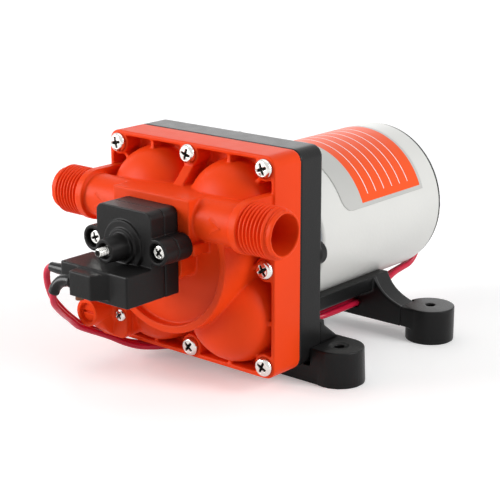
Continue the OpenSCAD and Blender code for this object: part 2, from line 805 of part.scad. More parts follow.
// Black housing round the wobble drive
module drive_housing() {
    rear_boss_r = 5.3;
    rear_boss_end = bell_y + 4;
    color("#1c1c1e") placed() difference() {
        union() {
            slab_y(housing_y, bell_y) outline();
            both_sides() rod_y(rear_boss_r, bell_y - eps, rear_boss_end, middle_x, head_z);
            rod_y(rear_boss_r - 1, bell_y - eps, rear_boss_end - 1.5, 0, head_z + middle_z);
        }
        slab_y(housing_y - eps, cavity_end_y) translate([0, axis_z]) {
            circle(plate_r + 4);
            for (c = chambers) translate(c) circle(cup_r + web_gap);
        }
        rod_y(17, cavity_end_y - eps, bell_y + eps);
        for (p = screw_places)
            rod_y(screw_r + thread_play, housing_y - eps, bell_y - 1.5 + eps, p[0], p[1]);
        both_sides() {
            rod_y(1.9 + free_hole, cavity_end_y, bell_y + eps, mount_screw_x);
            rod_y(3.8, cavity_end_y - eps, cavity_end_y + 1.6, mount_screw_x);
            rod_y(1.9 + thread_play, bell_y - 8, bell_y + eps, base_screw_x, base_screw_z);
        }
    }
}

module housing_screws() {
    color("silver") placed() for (p = screw_places)
        pan_screw(p[0], 0, p[1], screw_head_r, 2.2, screw_r, bell_y - 1.5, 20 * p[0] + p[1]);
}

module mount_screws() {
    color("silver") placed() both_sides()
        pan_screw(mount_screw_x, cavity_end_y + 1.6, axis_z, 3.6, 1.6, 1.9, 5, 15);
}

// Grey bell that carries the front bearing
module motor_front_plate() {
    wall = 4;
    color("darkgray") placed() difference() {
        union() {
            rod_y(bell_r, bell_y, can_y);
            rod_y(spigot_r, can_y - eps, can_y + 4);
        }
        difference() {
            rod_y(bell_r - wall, bell_y + wall, can_y + 4 + eps);
            rod_y(bearing_r + 3, bell_y, bearing_y + bearing_w + 1.5);
            for (side = [-1, 1])
                rod_y(4.5, bell_y, can_y, 0, axis_z + side * bolt_rise);
        }
        rod_y(9, bell_y - eps, bearing_y + eps);
        rod_y(bearing_r + press, bearing_y, can_y);
        for (side = [-1, 1])
            rod_y(1.9 + thread_play, bell_y + 4.5, can_y + 4 + eps, 0, axis_z + side * bolt_rise);
        both_sides() rod_y(1.9 + thread_play, bell_y - eps, bell_y + wall + eps, mount_screw_x);
    }
}

// Round can with a rolled front edge
module motor_can() {
    color("gainsboro") placed() turned_y() {
        translate([can_in_r, can_y + can_wall]) square([can_wall, can_len - can_wall]);
        intersection() {
            translate([can_in_r, can_y + can_wall]) circle(can_wall);
            translate([can_in_r, can_y]) square(can_wall + eps);
        }
    }
}

// Label wrapped over the can's upper side
module motor_label() {
    label_cut = 9;
    cut_z = axis_z + can_r * sin(label_low) + label_cut;
    color("lightgray") placed() difference() {
        ring_y(can_r + label_gap + label_t, can_r + label_gap, label_front, label_back);
        slab_y(label_front - 1, label_back + 1) translate([0, axis_z])
            polygon([[0, 0], [60 * cos(label_low), 60 * sin(label_low)], [60, -60], [-60, -60],
                [-60 * cos(label_low), 60 * sin(label_low)]]);
        both_sides() slab_x(can_r / 2, can_r + 1) difference() {
            translate([label_front - 1, axis_z]) square([label_cut + 1, cut_z - axis_z]);
            translate([label_front + label_cut, cut_z]) circle(label_cut);
        }
    }
}

// Rear cap with the bush pocket and the lead hole
module motor_end_cap() {
    cap_ring = 1.5;
    color("#202022") placed() difference() {
        union() {
            ring_y(spigot_r, spigot_r - cap_ring, brush_plate_y + 2.5, can_end_y + eps);
            rod_y(can_r - 0.3, can_end_y, cap_y);
            rod_y(spigot_r - cap_ring + eps, cap_wall_y, cap_y);
            rod_y(10, bush_y - 1, cap_boss_end);
        }
        rod_y(bearing_bush_r, bush_y - 1 - eps, bush_y + bush_w + 1);
        for (side = [-1, 1]) rod_y(1.9 + free_hole, cap_wall_y - eps, cap_y + eps, 0,
            axis_z + side * bolt_rise);
        rod_y(grommet_r, cap_wall_y - eps, cap_y + eps, grommet_at[0], grommet_at[1]);
    }
}

module motor_bolts() {
    head_r = 3.4;
    color("silver") placed() for (side = [-1, 1]) difference() {
        union() {
            rod_y(1.9, bell_y + 5, cap_y + eps, 0, axis_z + side * bolt_rise);
            rod_y(head_r, cap_y, cap_y + 2, 0, axis_z + side * bolt_rise);
        }
        box([-head_r, cap_y + 1.1, axis_z + side * bolt_rise - 0.5], [2 * head_r, 2, 1]);
    }
}

module front_bearing_outer() {
    color("silver") placed() race(bearing_r, 8.7, bearing_y, bearing_w, 7.6, 1.95);
}

module front_bearing_inner() {
    color("silver") placed() race(6.5, shaft_r + press, bearing_y, bearing_w, 7.6, 1.95);
}

module front_bearing_balls() {
    color("whitesmoke") placed() ball_set(8, 1.9, 7.6, bearing_y + bearing_w / 2);
}

module rear_bush() {
    color("peru") placed() ring_y(bearing_bush_r, shaft_r + slip, bush_y, bush_y + bush_w);
}

module motor_shaft() {
    color("lightsteelblue") placed() rod_y(shaft_r, shaft_start, shaft_end);
}

module armature() {
    color("slategray") placed() difference() {
        rod_y(stack_r, stack_y, stack_end_y);
        rod_y(shaft_r + press, stack_y - eps, stack_end_y + eps);
        for (k = [0 : slots - 1]) translate([0, 0, axis_z]) rotate([0, 360 * k / slots, 0]) {
            rod_y(slot_bar_r + loose, stack_y - eps, stack_end_y + eps, slot_pitch_r, 0);
            box([slot_pitch_r, stack_y - eps, -0.7], [stack_r, stack_end_y - stack_y + 2 * eps, 1.4]);
        }
    }
}

// Copper windings: two round end turns joined by the bars in the slots
module windings() {
    end_w = 7;
    color("#b5652b") placed() {
        for (y = [stack_y - end_w, stack_end_y]) turned_y()
            translate([15, y + end_w / 2]) rounded(14, end_w, 3);
        for (k = [0 : slots - 1]) translate([0, 0, axis_z]) rotate([0, 360 * k / slots, 0])
            rod_y(slot_bar_r, stack_y - 2, stack_end_y + 2, slot_pitch_r, 0);
    }
}

module commutator() {
    color("#b87333") placed() difference() {
        ring_y(commutator_r, shaft_r + press, commutator_y, commutator_y + 10);
        for (k = [0 : slots - 1]) translate([0, 0, axis_z]) rotate([0, 360 * k / slots, 0])
            box([commutator_r - 0.8, commutator_y - eps, -0.25], [2, 10 + 2 * eps, 0.5]);
    }
}

module magnets() {
    half_angle = 55;
    color("#303236") placed() both_sides() intersection() {
        ring_y(can_in_r - slip, magnet_in_r, stack_y - 4, stack_end_y + 4);
        slab_y(stack_y - 5, stack_end_y + 5) translate([0, axis_z])
            polygon([[0, 0], [60 * cos(half_angle), 60 * sin(half_angle)], [60, 0],
                [60 * cos(half_angle), -60 * sin(half_angle)]]);
    }
}

// Plate with two channels that guide the brushes
module brush_plate() {
    color("saddlebrown") placed() difference() {
        union() {
            rod_y(spigot_r - loose, brush_plate_y, brush_plate_y + 2.5);
            both_sides() box([commutator_r + 3.5, brush_y - brush_t / 2 - 1, axis_z - brush_w / 2 - 1.5],
                [holder_end - commutator_r - 3.5,
                    brush_plate_y - brush_y + brush_t / 2 + 1 + eps, brush_w + 3]);
        }
        rod_y(commutator_r + 2, brush_plate_y - eps, brush_plate_y + 3);
        for (side = [-1, 1])
            rod_y(2.4, brush_plate_y - eps, brush_plate_y + 3, 0, axis_z + side * bolt_rise);
        both_sides() box([commutator_r + 3, brush_y - brush_t / 2 - loose, axis_z - brush_w / 2 - loose],
            [holder_end - commutator_r - 4.5, brush_t + 2 * loose, brush_w + 2 * loose]);
    }
}

module brushes() {
    color("#3a3a3c") placed() both_sides()
        box([commutator_r + loose, brush_y - brush_t / 2, axis_z - brush_w / 2],
            [brush_end - commutator_r - loose, brush_t, brush_w]);
}

module brush_springs() {
    color("silver") placed() both_sides() translate([brush_end, brush_y, axis_z]) rotate([0, 90, 0])
        tube_along(coil(1.8, 0.35, holder_end - 1.5 - brush_end - 0.35, 5, 10), 0.35, 6);
}

module lead_grommet() {
    color("black") placed() difference() {
        union() {
            rod_y(grommet_r, cap_wall_y - 1.5, cap_y + 1.5, grommet_at[0], grommet_at[1]);
            rod_y(grommet_r + 1, cap_wall_y - 1.5, cap_wall_y, grommet_at[0], grommet_at[1]);
            rod_y(grommet_r + 1, cap_y, cap_y + 1.5, grommet_at[0], grommet_at[1]);
            rod_y(grommet_r - 0.8, cap_y, cap_y + 3, grommet_at[0], grommet_at[1]);
        }
        for (dx = [-1.6, 1.6])
            rod_y(lead_r, cap_wall_y - 2, cap_y + 4, grommet_at[0] + dx, grommet_at[1]);
    }
}

// Two leads from the switch, under the pump, to the rear of the motor
module red_leads() {
    color("crimson") placed() for (route = [lead_a, lead_b]) tube_along(curve(route, 3), lead_r, 8);
}

module lead_sleeves() {
    color("black") placed() {
        difference() {
            tube_along(curve(sleeve_a, 1), sleeve_a_r, 12);
            tube_along(curve([for (p = sleeve_a) p + [(p[0] + 26.5) * 0.1, 0, 0]], 1), sleeve_bore_r, 12);
        }
        difference() {
            tube_along(curve(sleeve_b, 2), sleeve_b_r, 12);
            tube_along(curve(concat([sleeve_b[0] + [1, 0, 0]], sleeve_b,
                [2 * sleeve_b[4] - curve_point(sleeve_b, 3, 0.5)]), 2), sleeve_bore_r, 12);
        }
    }
}

// Cradle section, with thick edges and a thin bed
module cradle_outline() {
    difference() {
        polygon([[-cradle_half, cradle_edge_z], [-cradle_half + 0.7, cradle_edge_z - 6.5],
            [-20, cradle_low + 1], [-18, cradle_low], [18, cradle_low], [20, cradle_low + 1],
            [cradle_half - 0.7, cradle_edge_z - 6.5], [cradle_half, cradle_edge_z]]);
        translate([0, axis_z]) circle(cradle_r);
    }
}

// Concave sweep of a rear arm, from the cradle's edge to the top of the foot
function arm_sweep(steps, sink) = [for (i = [0 : steps])
    let (t = i / steps, a = [cradle_half, cradle_edge_z], b = [cradle_half + 3.5, foot_h + 3],
        c = [arm_end_x, foot_h + 0.2])
    a * (1 - t) * (1 - t) + b * 2 * t * (1 - t) + c * t * t - [0, sink]];

module arm_outline(sink) {
    difference() {
        polygon(concat([[0, arm_low], [0, cradle_edge_z]], arm_sweep(12, sink), [[arm_end_x, arm_low]]));
        translate([0, axis_z]) circle(cradle_r);
    }
}

// Base: cradle, front flange with gussets, and tongues that run into the feet
module motor_base() {
    color("#1a1a1c") placed() difference() {
        union() {
            slab_y(bell_y, arm_back_y) cradle_outline();
            slab_y(bell_y, bell_y + flange_t) difference() {
                translate([-head_w / 2, foot_h]) square([head_w, flange_top - foot_h]);
                translate([0, axis_z]) circle(cradle_r);
            }
            box([-sill_w / 2, bell_y, tongue_z], [sill_w, flange_t, cradle_low - tongue_z + 2]);
            box([-sill_w / 2, bell_y, tongue_z], [sill_w, 12.5, cradle_low - tongue_z + 1]);
            both_sides() {
                box([0, bell_y + 1, tongue_z], [foot_x, 9, tongue_t]);
                translate([foot_x, front_foot_y, tongue_z]) cylinder(r = tongue_ring_r, h = tongue_t);
                slab_x(head_w / 2 - 1.6, head_w / 2) polygon([[bell_y, foot_h], [front_foot_y + 9.3, foot_h],
                    [bell_y, flange_top]]);
                slab_y(arm_front_y, arm_back_y) arm_outline(0.6);
                slab_y(arm_front_y, arm_front_y + 1.4) arm_outline(0);
                box([arm_end_x - 1, rear_foot_y - 6, rear_tongue_z], [10, 6.8, tongue_t]);
                translate([foot_x, rear_foot_y, rear_tongue_z]) cylinder(r = tongue_ring_r, h = tongue_t);
            }
        }
        both_sides() {
            for (p = [[front_foot_y, tongue_z], [rear_foot_y, rear_tongue_z]])
                translate([foot_x, p[0], p[1] - eps])
                    cylinder(r = foot_hole_r + 0.4, h = tongue_t + 2 * eps);
            rod_y(1.9 + free_hole, bell_y - eps, bell_y + flange_t + eps, base_screw_x, base_screw_z);
        }
        slab_y(arm_front_y - eps, arm_back_y + eps) translate([lead_slot[0], lead_slot[1]])
            rounded(2 * lead_r + 3.8, 2 * lead_r + 1, 1.5);
        rod_y(bell_r + 0.6, bell_y - eps, can_y);
    }
}

module base_screws() {
    color("silver") placed() both_sides() translate([0, 2 * (bell_y + flange_t), 0]) mirror([0, 1, 0])
        pan_screw(base_screw_x, bell_y + flange_t, base_screw_z, 3.6, 2, 1.9, flange_t + 6, 30);
}

// Slot in a foot for the tongue of the base
module tongue_slot(y, z) {
    translate([foot_x, y, z - slip]) cylinder(r = tongue_ring_r + loose, h = tongue_t + 2 * slip);
}

module front_feet() {
    flare = 0.6;
    color("#242426") placed() both_sides() difference() {
        union() {
            translate([foot_x, front_foot_y, 0])
                cylinder(r1 = front_foot_r + flare, r2 = front_foot_r, h = foot_h);
            box([inner_foot_x, front_foot_y - front_foot_r, 0],
                [foot_x - inner_foot_x, 2 * front_foot_r, foot_h]);
        }
        box([inner_foot_x - 1, 0, ground_gap], [head_w / 2 - inner_foot_x + 1, bell_y, foot_h]);
        tongue_slot(front_foot_y, tongue_z);
        box([inner_foot_x - 1, bell_y + 1 - loose, tongue_z - slip],
            [foot_x - inner_foot_x + 1, 9 + 2 * loose, tongue_t + 2 * slip]);
        translate([foot_x, front_foot_y, -eps]) cylinder(r = foot_hole_r, h = foot_h + 1);
        translate([foot_x, front_foot_y, foot_h - 0.4]) cylinder(r = 3.9, h = 1);
    }
}

module rear_feet() {
    color("#3c3c40") placed() both_sides() difference() {
        union() {
            translate([foot_x, rear_foot_y, 0]) cylinder(r = rear_foot_r, h = foot_h + 0.2);
            box([arm_end_x, arm_front_y, arm_low], [foot_x - arm_end_x, rear_foot_r, foot_h - arm_low]);
        }
        box([arm_end_x - 20, arm_front_y - 1, arm_low], [20, arm_back_y - arm_front_y + 1 + slip, foot_h]);
        tongue_slot(rear_foot_y, rear_tongue_z);
        box([arm_end_x - 1, rear_foot_y - 6 - loose, rear_tongue_z - slip],
            [10, 6.8 + 2 * loose, tongue_t + 2 * slip]);
        translate([foot_x, rear_foot_y, -eps]) cylinder(r = foot_hole_r, h = foot_h + 1);
    }
}

// Slab of the switch's front view: body with the box below, and ears with their webs
module switch_slab(y0, y1) {
    body_top = switch_z + 15.5;
    slab_y(y0, y1) translate([0, (body_top + box_low) / 2]) rounded(switch_w, body_top - box_low, 3.5);
    box([-switch_w / 2, y0, box_low], [switch_w, y1 - y0, 8]);
    slab_y(y0, y1) ear_outline();
}

module ear_outline() {
    for (side = [-1, 1]) translate([side * ear_pitch / 2, switch_z]) circle(ear_r);
    web = ear_r - 0.6;
    polygon([[-ear_pitch / 2, switch_z + web], [0, switch_z + web + 3.6], [ear_pitch / 2, switch_z + web],
        [ear_pitch / 2, switch_z - web], [0, switch_z - web - 2.6], [-ear_pitch / 2, switch_z - web]]);
}

module switch_base() {
    color("#202022") placed() difference() {
        switch_slab(seam_y, block_y);
        rod_y(chamber_r, seam_y - eps, membrane_y, 0, switch_z);
        rod_y(1.5, membrane_y - eps, block_y + eps, 0, switch_z);
        box([-3.2, seam_y - eps, box_top - 8], [6.4, 2, 10]);
        for (side = [-1, 1])
            rod_y(ear_screw_r + free_hole, seam_y - eps, block_y + eps, side * ear_pitch / 2, switch_z);
    }
}

// Cover with the tube on its front and the box for the microswitch
module switch_cover() {
    step = 1;
    ring_step = 1.8;
    color("#252527") placed() difference() {
        union() {
            switch_slab(cover_y, seam_y);
            rod_y(10.5, cover_y - step, cover_y + eps, 0, switch_z);
            rod_y(7.3, cover_y - ring_step, cover_y + eps, 0, switch_z);
            translate([0, tube_end_y, switch_z]) rotate([-90, 0, 0])
                cylinder(r1 = 4.8, r2 = 5.6, h = cover_y - tube_end_y + eps);
            box([-12, box_y, box_low], [12 + switch_w / 2, seam_y - box_y, box_top - box_low]);
            box([box_left, box_y, box_step_z],
                [switch_w / 2 - box_left, seam_y - box_y - 4, box_top - box_step_z]);
            translate([0, 0, box_low + 2]) linear_extrude(box_top - box_low - 2.9)
                polygon([[-12, box_y + eps], [-11.5, nub_y], [0.8, nub_y], [6, box_y + eps]]);
        }
        rod_y(chamber_r - 0.8, cover_y + 2, seam_y + eps, 0, switch_z);
        rod_y(3.2 + thread_play, tube_end_y - eps, cover_y + 3, 0, switch_z);
        box([-3.2, cover_y + 2, box_low + 4.3], [6.4, seam_y - cover_y - 2 + eps, switch_z - box_low - 8]);
        box([-3.2, micro[0][1] + micro[1][1] - eps, box_low + 4.3],
            [6.4, cover_y + 2 - micro[0][1] - micro[1][1] + 2 * eps, 5]);
        box([micro[0][0] - loose, micro[0][1] - loose, box_low - eps],
            [micro[1][0] + 2 * loose, micro[1][1] + 2 * loose, micro[1][2] + 1 + 2 * eps]);
        box([box_left - eps, blade_y - 1.6, blade_z - 0.5], [13, 3.2, 1]);
        box([-13, low_blade_y - 1.6, low_blade_z - 0.5], [7.1, 3.2, 1]);
        box([-9.1, low_blade_y - 1.6, low_blade_z - 0.5], [3.2, micro[0][1] - low_blade_y + 2, 1]);
        translate([nub_screw[0], nub_screw[1], box_low + 1]) cylinder(r = 1 + thread_play, h = 4.5);
        for (side = [-1, 1]) {
            rod_y(ear_screw_r + free_hole, cover_y, seam_y + eps, side * ear_pitch / 2, switch_z);
            rod_y(3.9, cover_y - eps, cover_y + 3, side * ear_pitch / 2, switch_z);
        }
    }
}

module switch_diaphragm() {
    color("black") placed() rod_y(chamber_r - loose, plunger_face_y, membrane_y, 0, switch_z);
}

// Plunger with the arm that reaches down to the microswitch
module switch_plunger() {
    color("ivory") placed() {
        rod_y(8, plunger_face_y - 1.8, plunger_face_y, 0, switch_z);
        rod_y(3, arm_y + eps, plunger_face_y - 1, 0, switch_z);
        box([-2.5, arm_y, box_low + 5.5], [5, 1.9, switch_z - box_low - 3.5]);
        box([-1.5, nose_y, box_low + 5.5], [3, arm_y - nose_y + eps, 2.6]);
    }
}

module switch_spring() {
    wire = 0.4;
    color("silver") placed() translate([0, adjuster_end_y, switch_z]) rotate([-90, 0, 0])
        tube_along(coil(2.3, wire, arm_y - adjuster_end_y - plunger_travel - 0.4 - wire, 5, 12), wire, 6);
}

// Adjusting screw in the tube, with a hexagon socket in its tip
module switch_adjuster() {
    color("#c8b88a") placed() difference() {
        union() {
            rod_y(3.2, tube_end_y + 2, adjuster_end_y, 0, switch_z);
            rod_y(1.9, tube_end_y - 3.5, tube_end_y + 2 + eps, 0, switch_z);
        }
        translate([0, tube_end_y - 4, switch_z]) rotate([-90, 0, 0]) cylinder(r = 1, h = 3, $fn = 6);
    }
}

module switch_screws() {
    color("silver") placed() for (side = [-1, 1])
        pan_screw(side * ear_pitch / 2, cover_y + 3, switch_z, 3, 1.6, ear_screw_r,
            -10.5 - cover_y - 3, 25 + 30 * side);
}

module microswitch_body() {
    color("#3a2a22") placed() difference() {
        box(micro[0], micro[1]);
        rod_y(1 + loose, -45.5, -40, 0, box_low + 6.8);
        box([micro[0][0] - eps, blade_y - 1.6, blade_z - 0.5], [2.1, 3.2, 1]);
        box([-9.1, micro[0][1] - eps, low_blade_z - 0.5], [3.2, 2.1, 1]);
    }
}

module microswitch_button() {
    color("crimson") placed() rod_y(1, button_y - 5, button_y, 0, box_low + 6.8);
}

module microswitch_screw() {
    color("dimgray") placed() {
        translate([nub_screw[0], nub_screw[1], box_low + 0.7]) cylinder(r = 1.7, h = 1.3);
        translate([nub_screw[0], nub_screw[1], box_low + 1.9]) cylinder(r = 1, h = 3.4);
    }
}

module switch_terminals() {
    color("goldenrod") placed() {
        box([box_left - 5, blade_y - 1.5, blade_z - 0.4], [5 - box_left + micro[0][0] + 1.9, 3, 0.8]);
        box([-15.5, low_blade_y - 1.5, low_blade_z - 0.4], [9.5, 3, 0.8]);
        box([-9, low_blade_y - 1.5, low_blade_z - 0.4], [3, micro[0][1] - low_blade_y + 3.4, 0.8]);
    }
}

// Orange cap that holds the bypass spring and its adjuster
module bypass_cap() {
    color("orangered") placed() difference() {
        union() {
            slab_y(cap_front_y, bypass_face_y) difference() {
                bypass_outline();
                translate([0, disc_z]) circle(disc_r + loose);
            }
            rod_y(boss_r, boss_end_y, cap_front_y + eps, -bypass_x, bypass_z);
            translate([-bypass_x, cap_front_y - 2, bypass_z]) rotate([-90, 0, 0])
                cylinder(r1 = boss_r, r2 = boss_r + 2, h = 2 + eps);
        }
        rod_y(adjuster_r + 0.4, boss_end_y - eps, adjuster_y, -bypass_x, bypass_z);
        rod_y(adjuster_r + thread_play, adjuster_y - eps, adjuster_y + adjuster_len, -bypass_x, bypass_z);
        rod_y(3.5, adjuster_y + adjuster_len - eps, bypass_face_y + eps, -bypass_x, bypass_z);
        for (side = [-1, 1], size = [[bypass_screw_r + free_hole, bypass_face_y + eps], [2.7, cap_front_y]])
            rod_y(size[0], cap_front_y - 2, size[1], -bypass_x + side * bypass_screw_dx,
                bypass_z - side * bypass_screw_dz);
    }
}

module bypass_screws() {
    color("silver") placed() for (side = [-1, 1])
        pan_screw(-bypass_x + side * bypass_screw_dx, cap_front_y, bypass_z - side * bypass_screw_dz, 2.5,
            1.6, bypass_screw_r, -6.5 - cap_front_y, 40 * side);
}

module bypass_adjuster() {
    color("silver") placed() difference() {
        rod_y(adjuster_r, adjuster_y, adjuster_y + adjuster_len, -bypass_x, bypass_z);
        box([-bypass_x - 4, adjuster_y - 1, bypass_z - 0.5], [8, 2.2, 1]);
    }
}

module bypass_spring() {
    wire = 0.45;
    start = adjuster_y + adjuster_len;
    stop = seat_y - 2.5 - poppet_lift - 0.3;
    color("silver") placed() translate([-bypass_x, start, bypass_z]) rotate([-90, 0, 0])
        tube_along(coil(2.5, wire, stop - start - wire, 5, 12), wire, 6);
}

module bypass_poppet() {
    color("dimgray") placed() {
        rod_y(3.4, seat_y - 2.5, seat_y, -bypass_x, bypass_z);
        rod_y(1.4, seat_y - 6, seat_y - 2.4, -bypass_x, bypass_z);
    }
}

pump_head();
valve_plate();
head_seal();
inlet_valves();
outlet_valve();
diaphragm();
diaphragm_cups();
pistons();
piston_screws();
wobble_plate();
wobble_bearing_outer();
wobble_bearing_inner();
wobble_bearing_balls();
wobble_cam();
cam_circlip();
cam_grub_screw();
drive_housing();
housing_screws();
mount_screws();
motor_front_plate();
motor_can();
motor_label();
motor_end_cap();
motor_bolts();
front_bearing_outer();
front_bearing_inner();
front_bearing_balls();
rear_bush();
motor_shaft();
armature();
windings();
commutator();
magnets();
brush_plate();
brushes();
brush_springs();
lead_grommet();
red_leads();
lead_sleeves();
motor_base();
base_screws();
front_feet();
rear_feet();
switch_base();
switch_cover();
switch_diaphragm();
switch_plunger();
switch_spring();
switch_adjuster();
switch_screws();
microswitch_body();
microswitch_button();
microswitch_screw();
switch_terminals();
bypass_cap();
bypass_screws();
bypass_adjuster();
bypass_spring();
bypass_poppet();
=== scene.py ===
import json
import math

import bmesh
import bpy
import numpy as np
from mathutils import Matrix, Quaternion, Vector


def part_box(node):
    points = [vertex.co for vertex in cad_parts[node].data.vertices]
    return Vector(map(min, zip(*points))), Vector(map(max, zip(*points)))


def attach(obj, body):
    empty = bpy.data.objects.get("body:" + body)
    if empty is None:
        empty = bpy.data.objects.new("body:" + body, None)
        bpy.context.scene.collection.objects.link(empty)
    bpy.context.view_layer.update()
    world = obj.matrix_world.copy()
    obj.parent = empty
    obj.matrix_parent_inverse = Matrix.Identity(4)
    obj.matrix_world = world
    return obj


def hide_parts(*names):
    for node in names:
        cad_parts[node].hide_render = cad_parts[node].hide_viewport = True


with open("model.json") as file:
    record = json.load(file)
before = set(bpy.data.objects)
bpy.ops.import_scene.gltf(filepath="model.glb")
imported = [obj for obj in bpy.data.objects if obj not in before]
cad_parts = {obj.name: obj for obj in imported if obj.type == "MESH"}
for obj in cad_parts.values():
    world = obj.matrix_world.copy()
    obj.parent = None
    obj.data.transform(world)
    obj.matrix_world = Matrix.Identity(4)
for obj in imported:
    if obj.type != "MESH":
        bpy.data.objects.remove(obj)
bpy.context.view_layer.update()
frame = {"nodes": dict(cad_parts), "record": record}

# Studio
# A white board to stand on, soft boxes overhead, at each side and behind, and a
# camera at the height and distance from which the pump was photographed.
eye = Vector((0.3856, -0.4851, 0.2194))
aim = Vector((0.0034, -0.0338, 0.0477))
roll = math.radians(-0.14)
sensor = 36.0
focal_pixels = 1413.7
photo_pixels = 500

camera_data = bpy.data.cameras.new("photo_camera")
camera_data.sensor_width = sensor
camera_data.lens = focal_pixels / photo_pixels * sensor
camera_data.clip_start = 0.01
camera = bpy.data.objects.new("photo_camera", camera_data)
camera.location = eye
sight = (aim - eye).to_track_quat("-Z", "Y")
camera.rotation_mode = "QUATERNION"
camera.rotation_quaternion = sight @ Quaternion((0, 0, 1), roll)
bpy.context.scene.collection.objects.link(camera)
bpy.context.scene.camera = camera
bpy.context.scene.view_settings.view_transform = "Standard"

for name, place, target, size, watts in (
    ("top_box", (-0.1, 0.15, 1.15), (0, 0, 0.05), (1.1, 1.1), 2.5),
    ("left_box", (-0.95, -1.0, 0.5), (0, -0.05, 0.05), (0.75, 0.75), 18.0),
    ("right_box", (1.25, 0.25, 0.7), (0, 0, 0.05), (0.6, 0.7), 12.5),
    ("back_box", (-1.0, 1.15, 0.5), (0, 0, 0.08), (1.9, 0.75), 4.0),
):
    lamp_data = bpy.data.lights.new(name, "AREA")
    lamp_data.shape = "RECTANGLE"
    lamp_data.size, lamp_data.size_y = size
    lamp_data.energy = watts
    lamp = bpy.data.objects.new(name, lamp_data)
    lamp.location = place
    lamp.rotation_euler = (Vector(target) - Vector(place)).to_track_quat("-Z", "Y").to_euler()
    bpy.context.scene.collection.objects.link(lamp)


class Wire:
    """A value in a shader. Arithmetic on it adds Math nodes."""

    def __init__(self, tree, socket):
        self.tree, self.socket = tree, socket

    def math(self, operation, *values):
        step = self.tree.nodes.new("ShaderNodeMath")
        step.operation = operation
        for slot, value in zip(step.inputs, values):
            if isinstance(value, Wire):
                self.tree.links.new(value.socket, slot)
            else:
                slot.default_value = value
        return Wire(self.tree, step.outputs[0])

    def __add__(self, other):
        return self.math("ADD", self, other)

    def __sub__(self, other):
        return self.math("SUBTRACT", self, other)

    def __mul__(self, other):
        return self.math("MULTIPLY", self, other)

    def __truediv__(self, other):
        return self.math("DIVIDE", self, other)

    def __pow__(self, other):
        return self.math("POWER", self, other)

    def __gt__(self, other):
        return self.math("GREATER_THAN", self, other)

    def __lt__(self, other):
        return self.math("LESS_THAN", self, other)

    def __abs__(self):
        return self.math("ABSOLUTE", self)

    def angle(self, other):
        return self.math("ARCTAN2", self, other)

    def wave(self):
        return self.math("SINE", self)

    def between(self, low, high):
        return (self > low) * (self < high)

    def clamped(self):
        return self.math("MINIMUM", self.math("MAXIMUM", self, 0.0), 1.0)


class Finish:
    """A material on the surface shader. Plain numbers go to its sockets at once."""

    def __init__(self, name, **plain):
        self.material = bpy.data.materials.new(name)
        self.material.use_nodes = True
        self.tree = self.material.node_tree
        self.surface = self.tree.nodes["Principled BSDF"]
        for socket, value in plain.items():
            self.surface.inputs[socket.replace("_", " ")].default_value = value
        place = self.tree.nodes.new("ShaderNodeTexCoord").outputs["Object"]
        self.place = Wire(self.tree, place)

    def node(self, kind, settings=None, inputs=None, output=0):
        step = self.tree.nodes.new(kind)
        for name, value in (settings or {}).items():
            setattr(step, name, value)
        for name, value in (inputs or {}).items():
            if isinstance(value, Wire):
                self.tree.links.new(value.socket, step.inputs[name])
            else:
                step.inputs[name].default_value = value
        return Wire(self.tree, step.outputs[output])

    def axes(self):
        parts = self.tree.nodes.new("ShaderNodeSeparateXYZ")
        self.tree.links.new(self.place.socket, parts.inputs[0])
        return [Wire(self.tree, output) for output in parts.outputs]

    def noise(self, scale, detail=2.0):
        return self.node("ShaderNodeTexNoise", None,
                         {"Vector": self.place, "Scale": scale, "Detail": detail}, "Fac")

    def mixed(self, factor, first, second):
        return self.node("ShaderNodeMix", {"data_type": "RGBA"},
                         {0: factor, 6: first, 7: second}, 2)

    def paint(self, socket, wire):
        self.tree.links.new(wire.socket, self.surface.inputs[socket])

    def relief(self, height, depth):
        bump = self.node("ShaderNodeBump", None,
                         {"Height": height, "Distance": depth, "Strength": 1.0})
        self.paint("Normal", bump)


def solid(red, green, blue):
    """A colour as a material socket takes it."""
    return (red, green, blue, 1.0)


def seen_rays(tree):
    """One for the rays that show the board and the sky, zero for those that only light the pump."""
    path = tree.nodes.new("ShaderNodeLightPath").outputs
    straight, glossy, passed = [Wire(tree, path[f"Is {kind} Ray"])
                                for kind in ("Camera", "Glossy", "Transmission")]
    return (straight + glossy + passed).clamped()


white_board = Finish("white_board", Base_Color=solid(0.93, 0.93, 0.93), Emission_Strength=1.0)
white_board.paint("Roughness", white_board.noise(30.0) * 0.1 + 0.85)
board_x, board_y = white_board.axes()[:2]
shade_near, shade_run, board_glow = 0.5, 1.1, 0.24
far = (((board_x * board_x + board_y * board_y) ** 0.5 - shade_near) / shade_run).clamped()
board_light = far * (1 - board_glow) + board_glow
white_board.paint("Emission Color", seen_rays(white_board.tree) * board_light)
floor_half = 6.0
floor_mesh = bpy.data.meshes.new("white_board")
floor_mesh.from_pydata([(-floor_half, -floor_half, 0), (floor_half, -floor_half, 0),
                        (floor_half, floor_half, 0), (-floor_half, floor_half, 0)], [], [(0, 1, 2, 3)])
floor = bpy.data.objects.new("white_board", floor_mesh)
floor.data.materials.append(white_board.material)
bpy.context.scene.collection.objects.link(floor)

world = bpy.data.worlds.new("studio")
world.use_nodes = True
sky = world.node_tree.nodes["Background"]
sky.inputs["Color"].default_value = solid(1, 1, 1)
sky_light = 0.26
sky_strength = seen_rays(world.node_tree) * (1 - sky_light) + sky_light
world.node_tree.links.new(sky_strength.socket, sky.inputs["Strength"])
bpy.context.scene.world = world

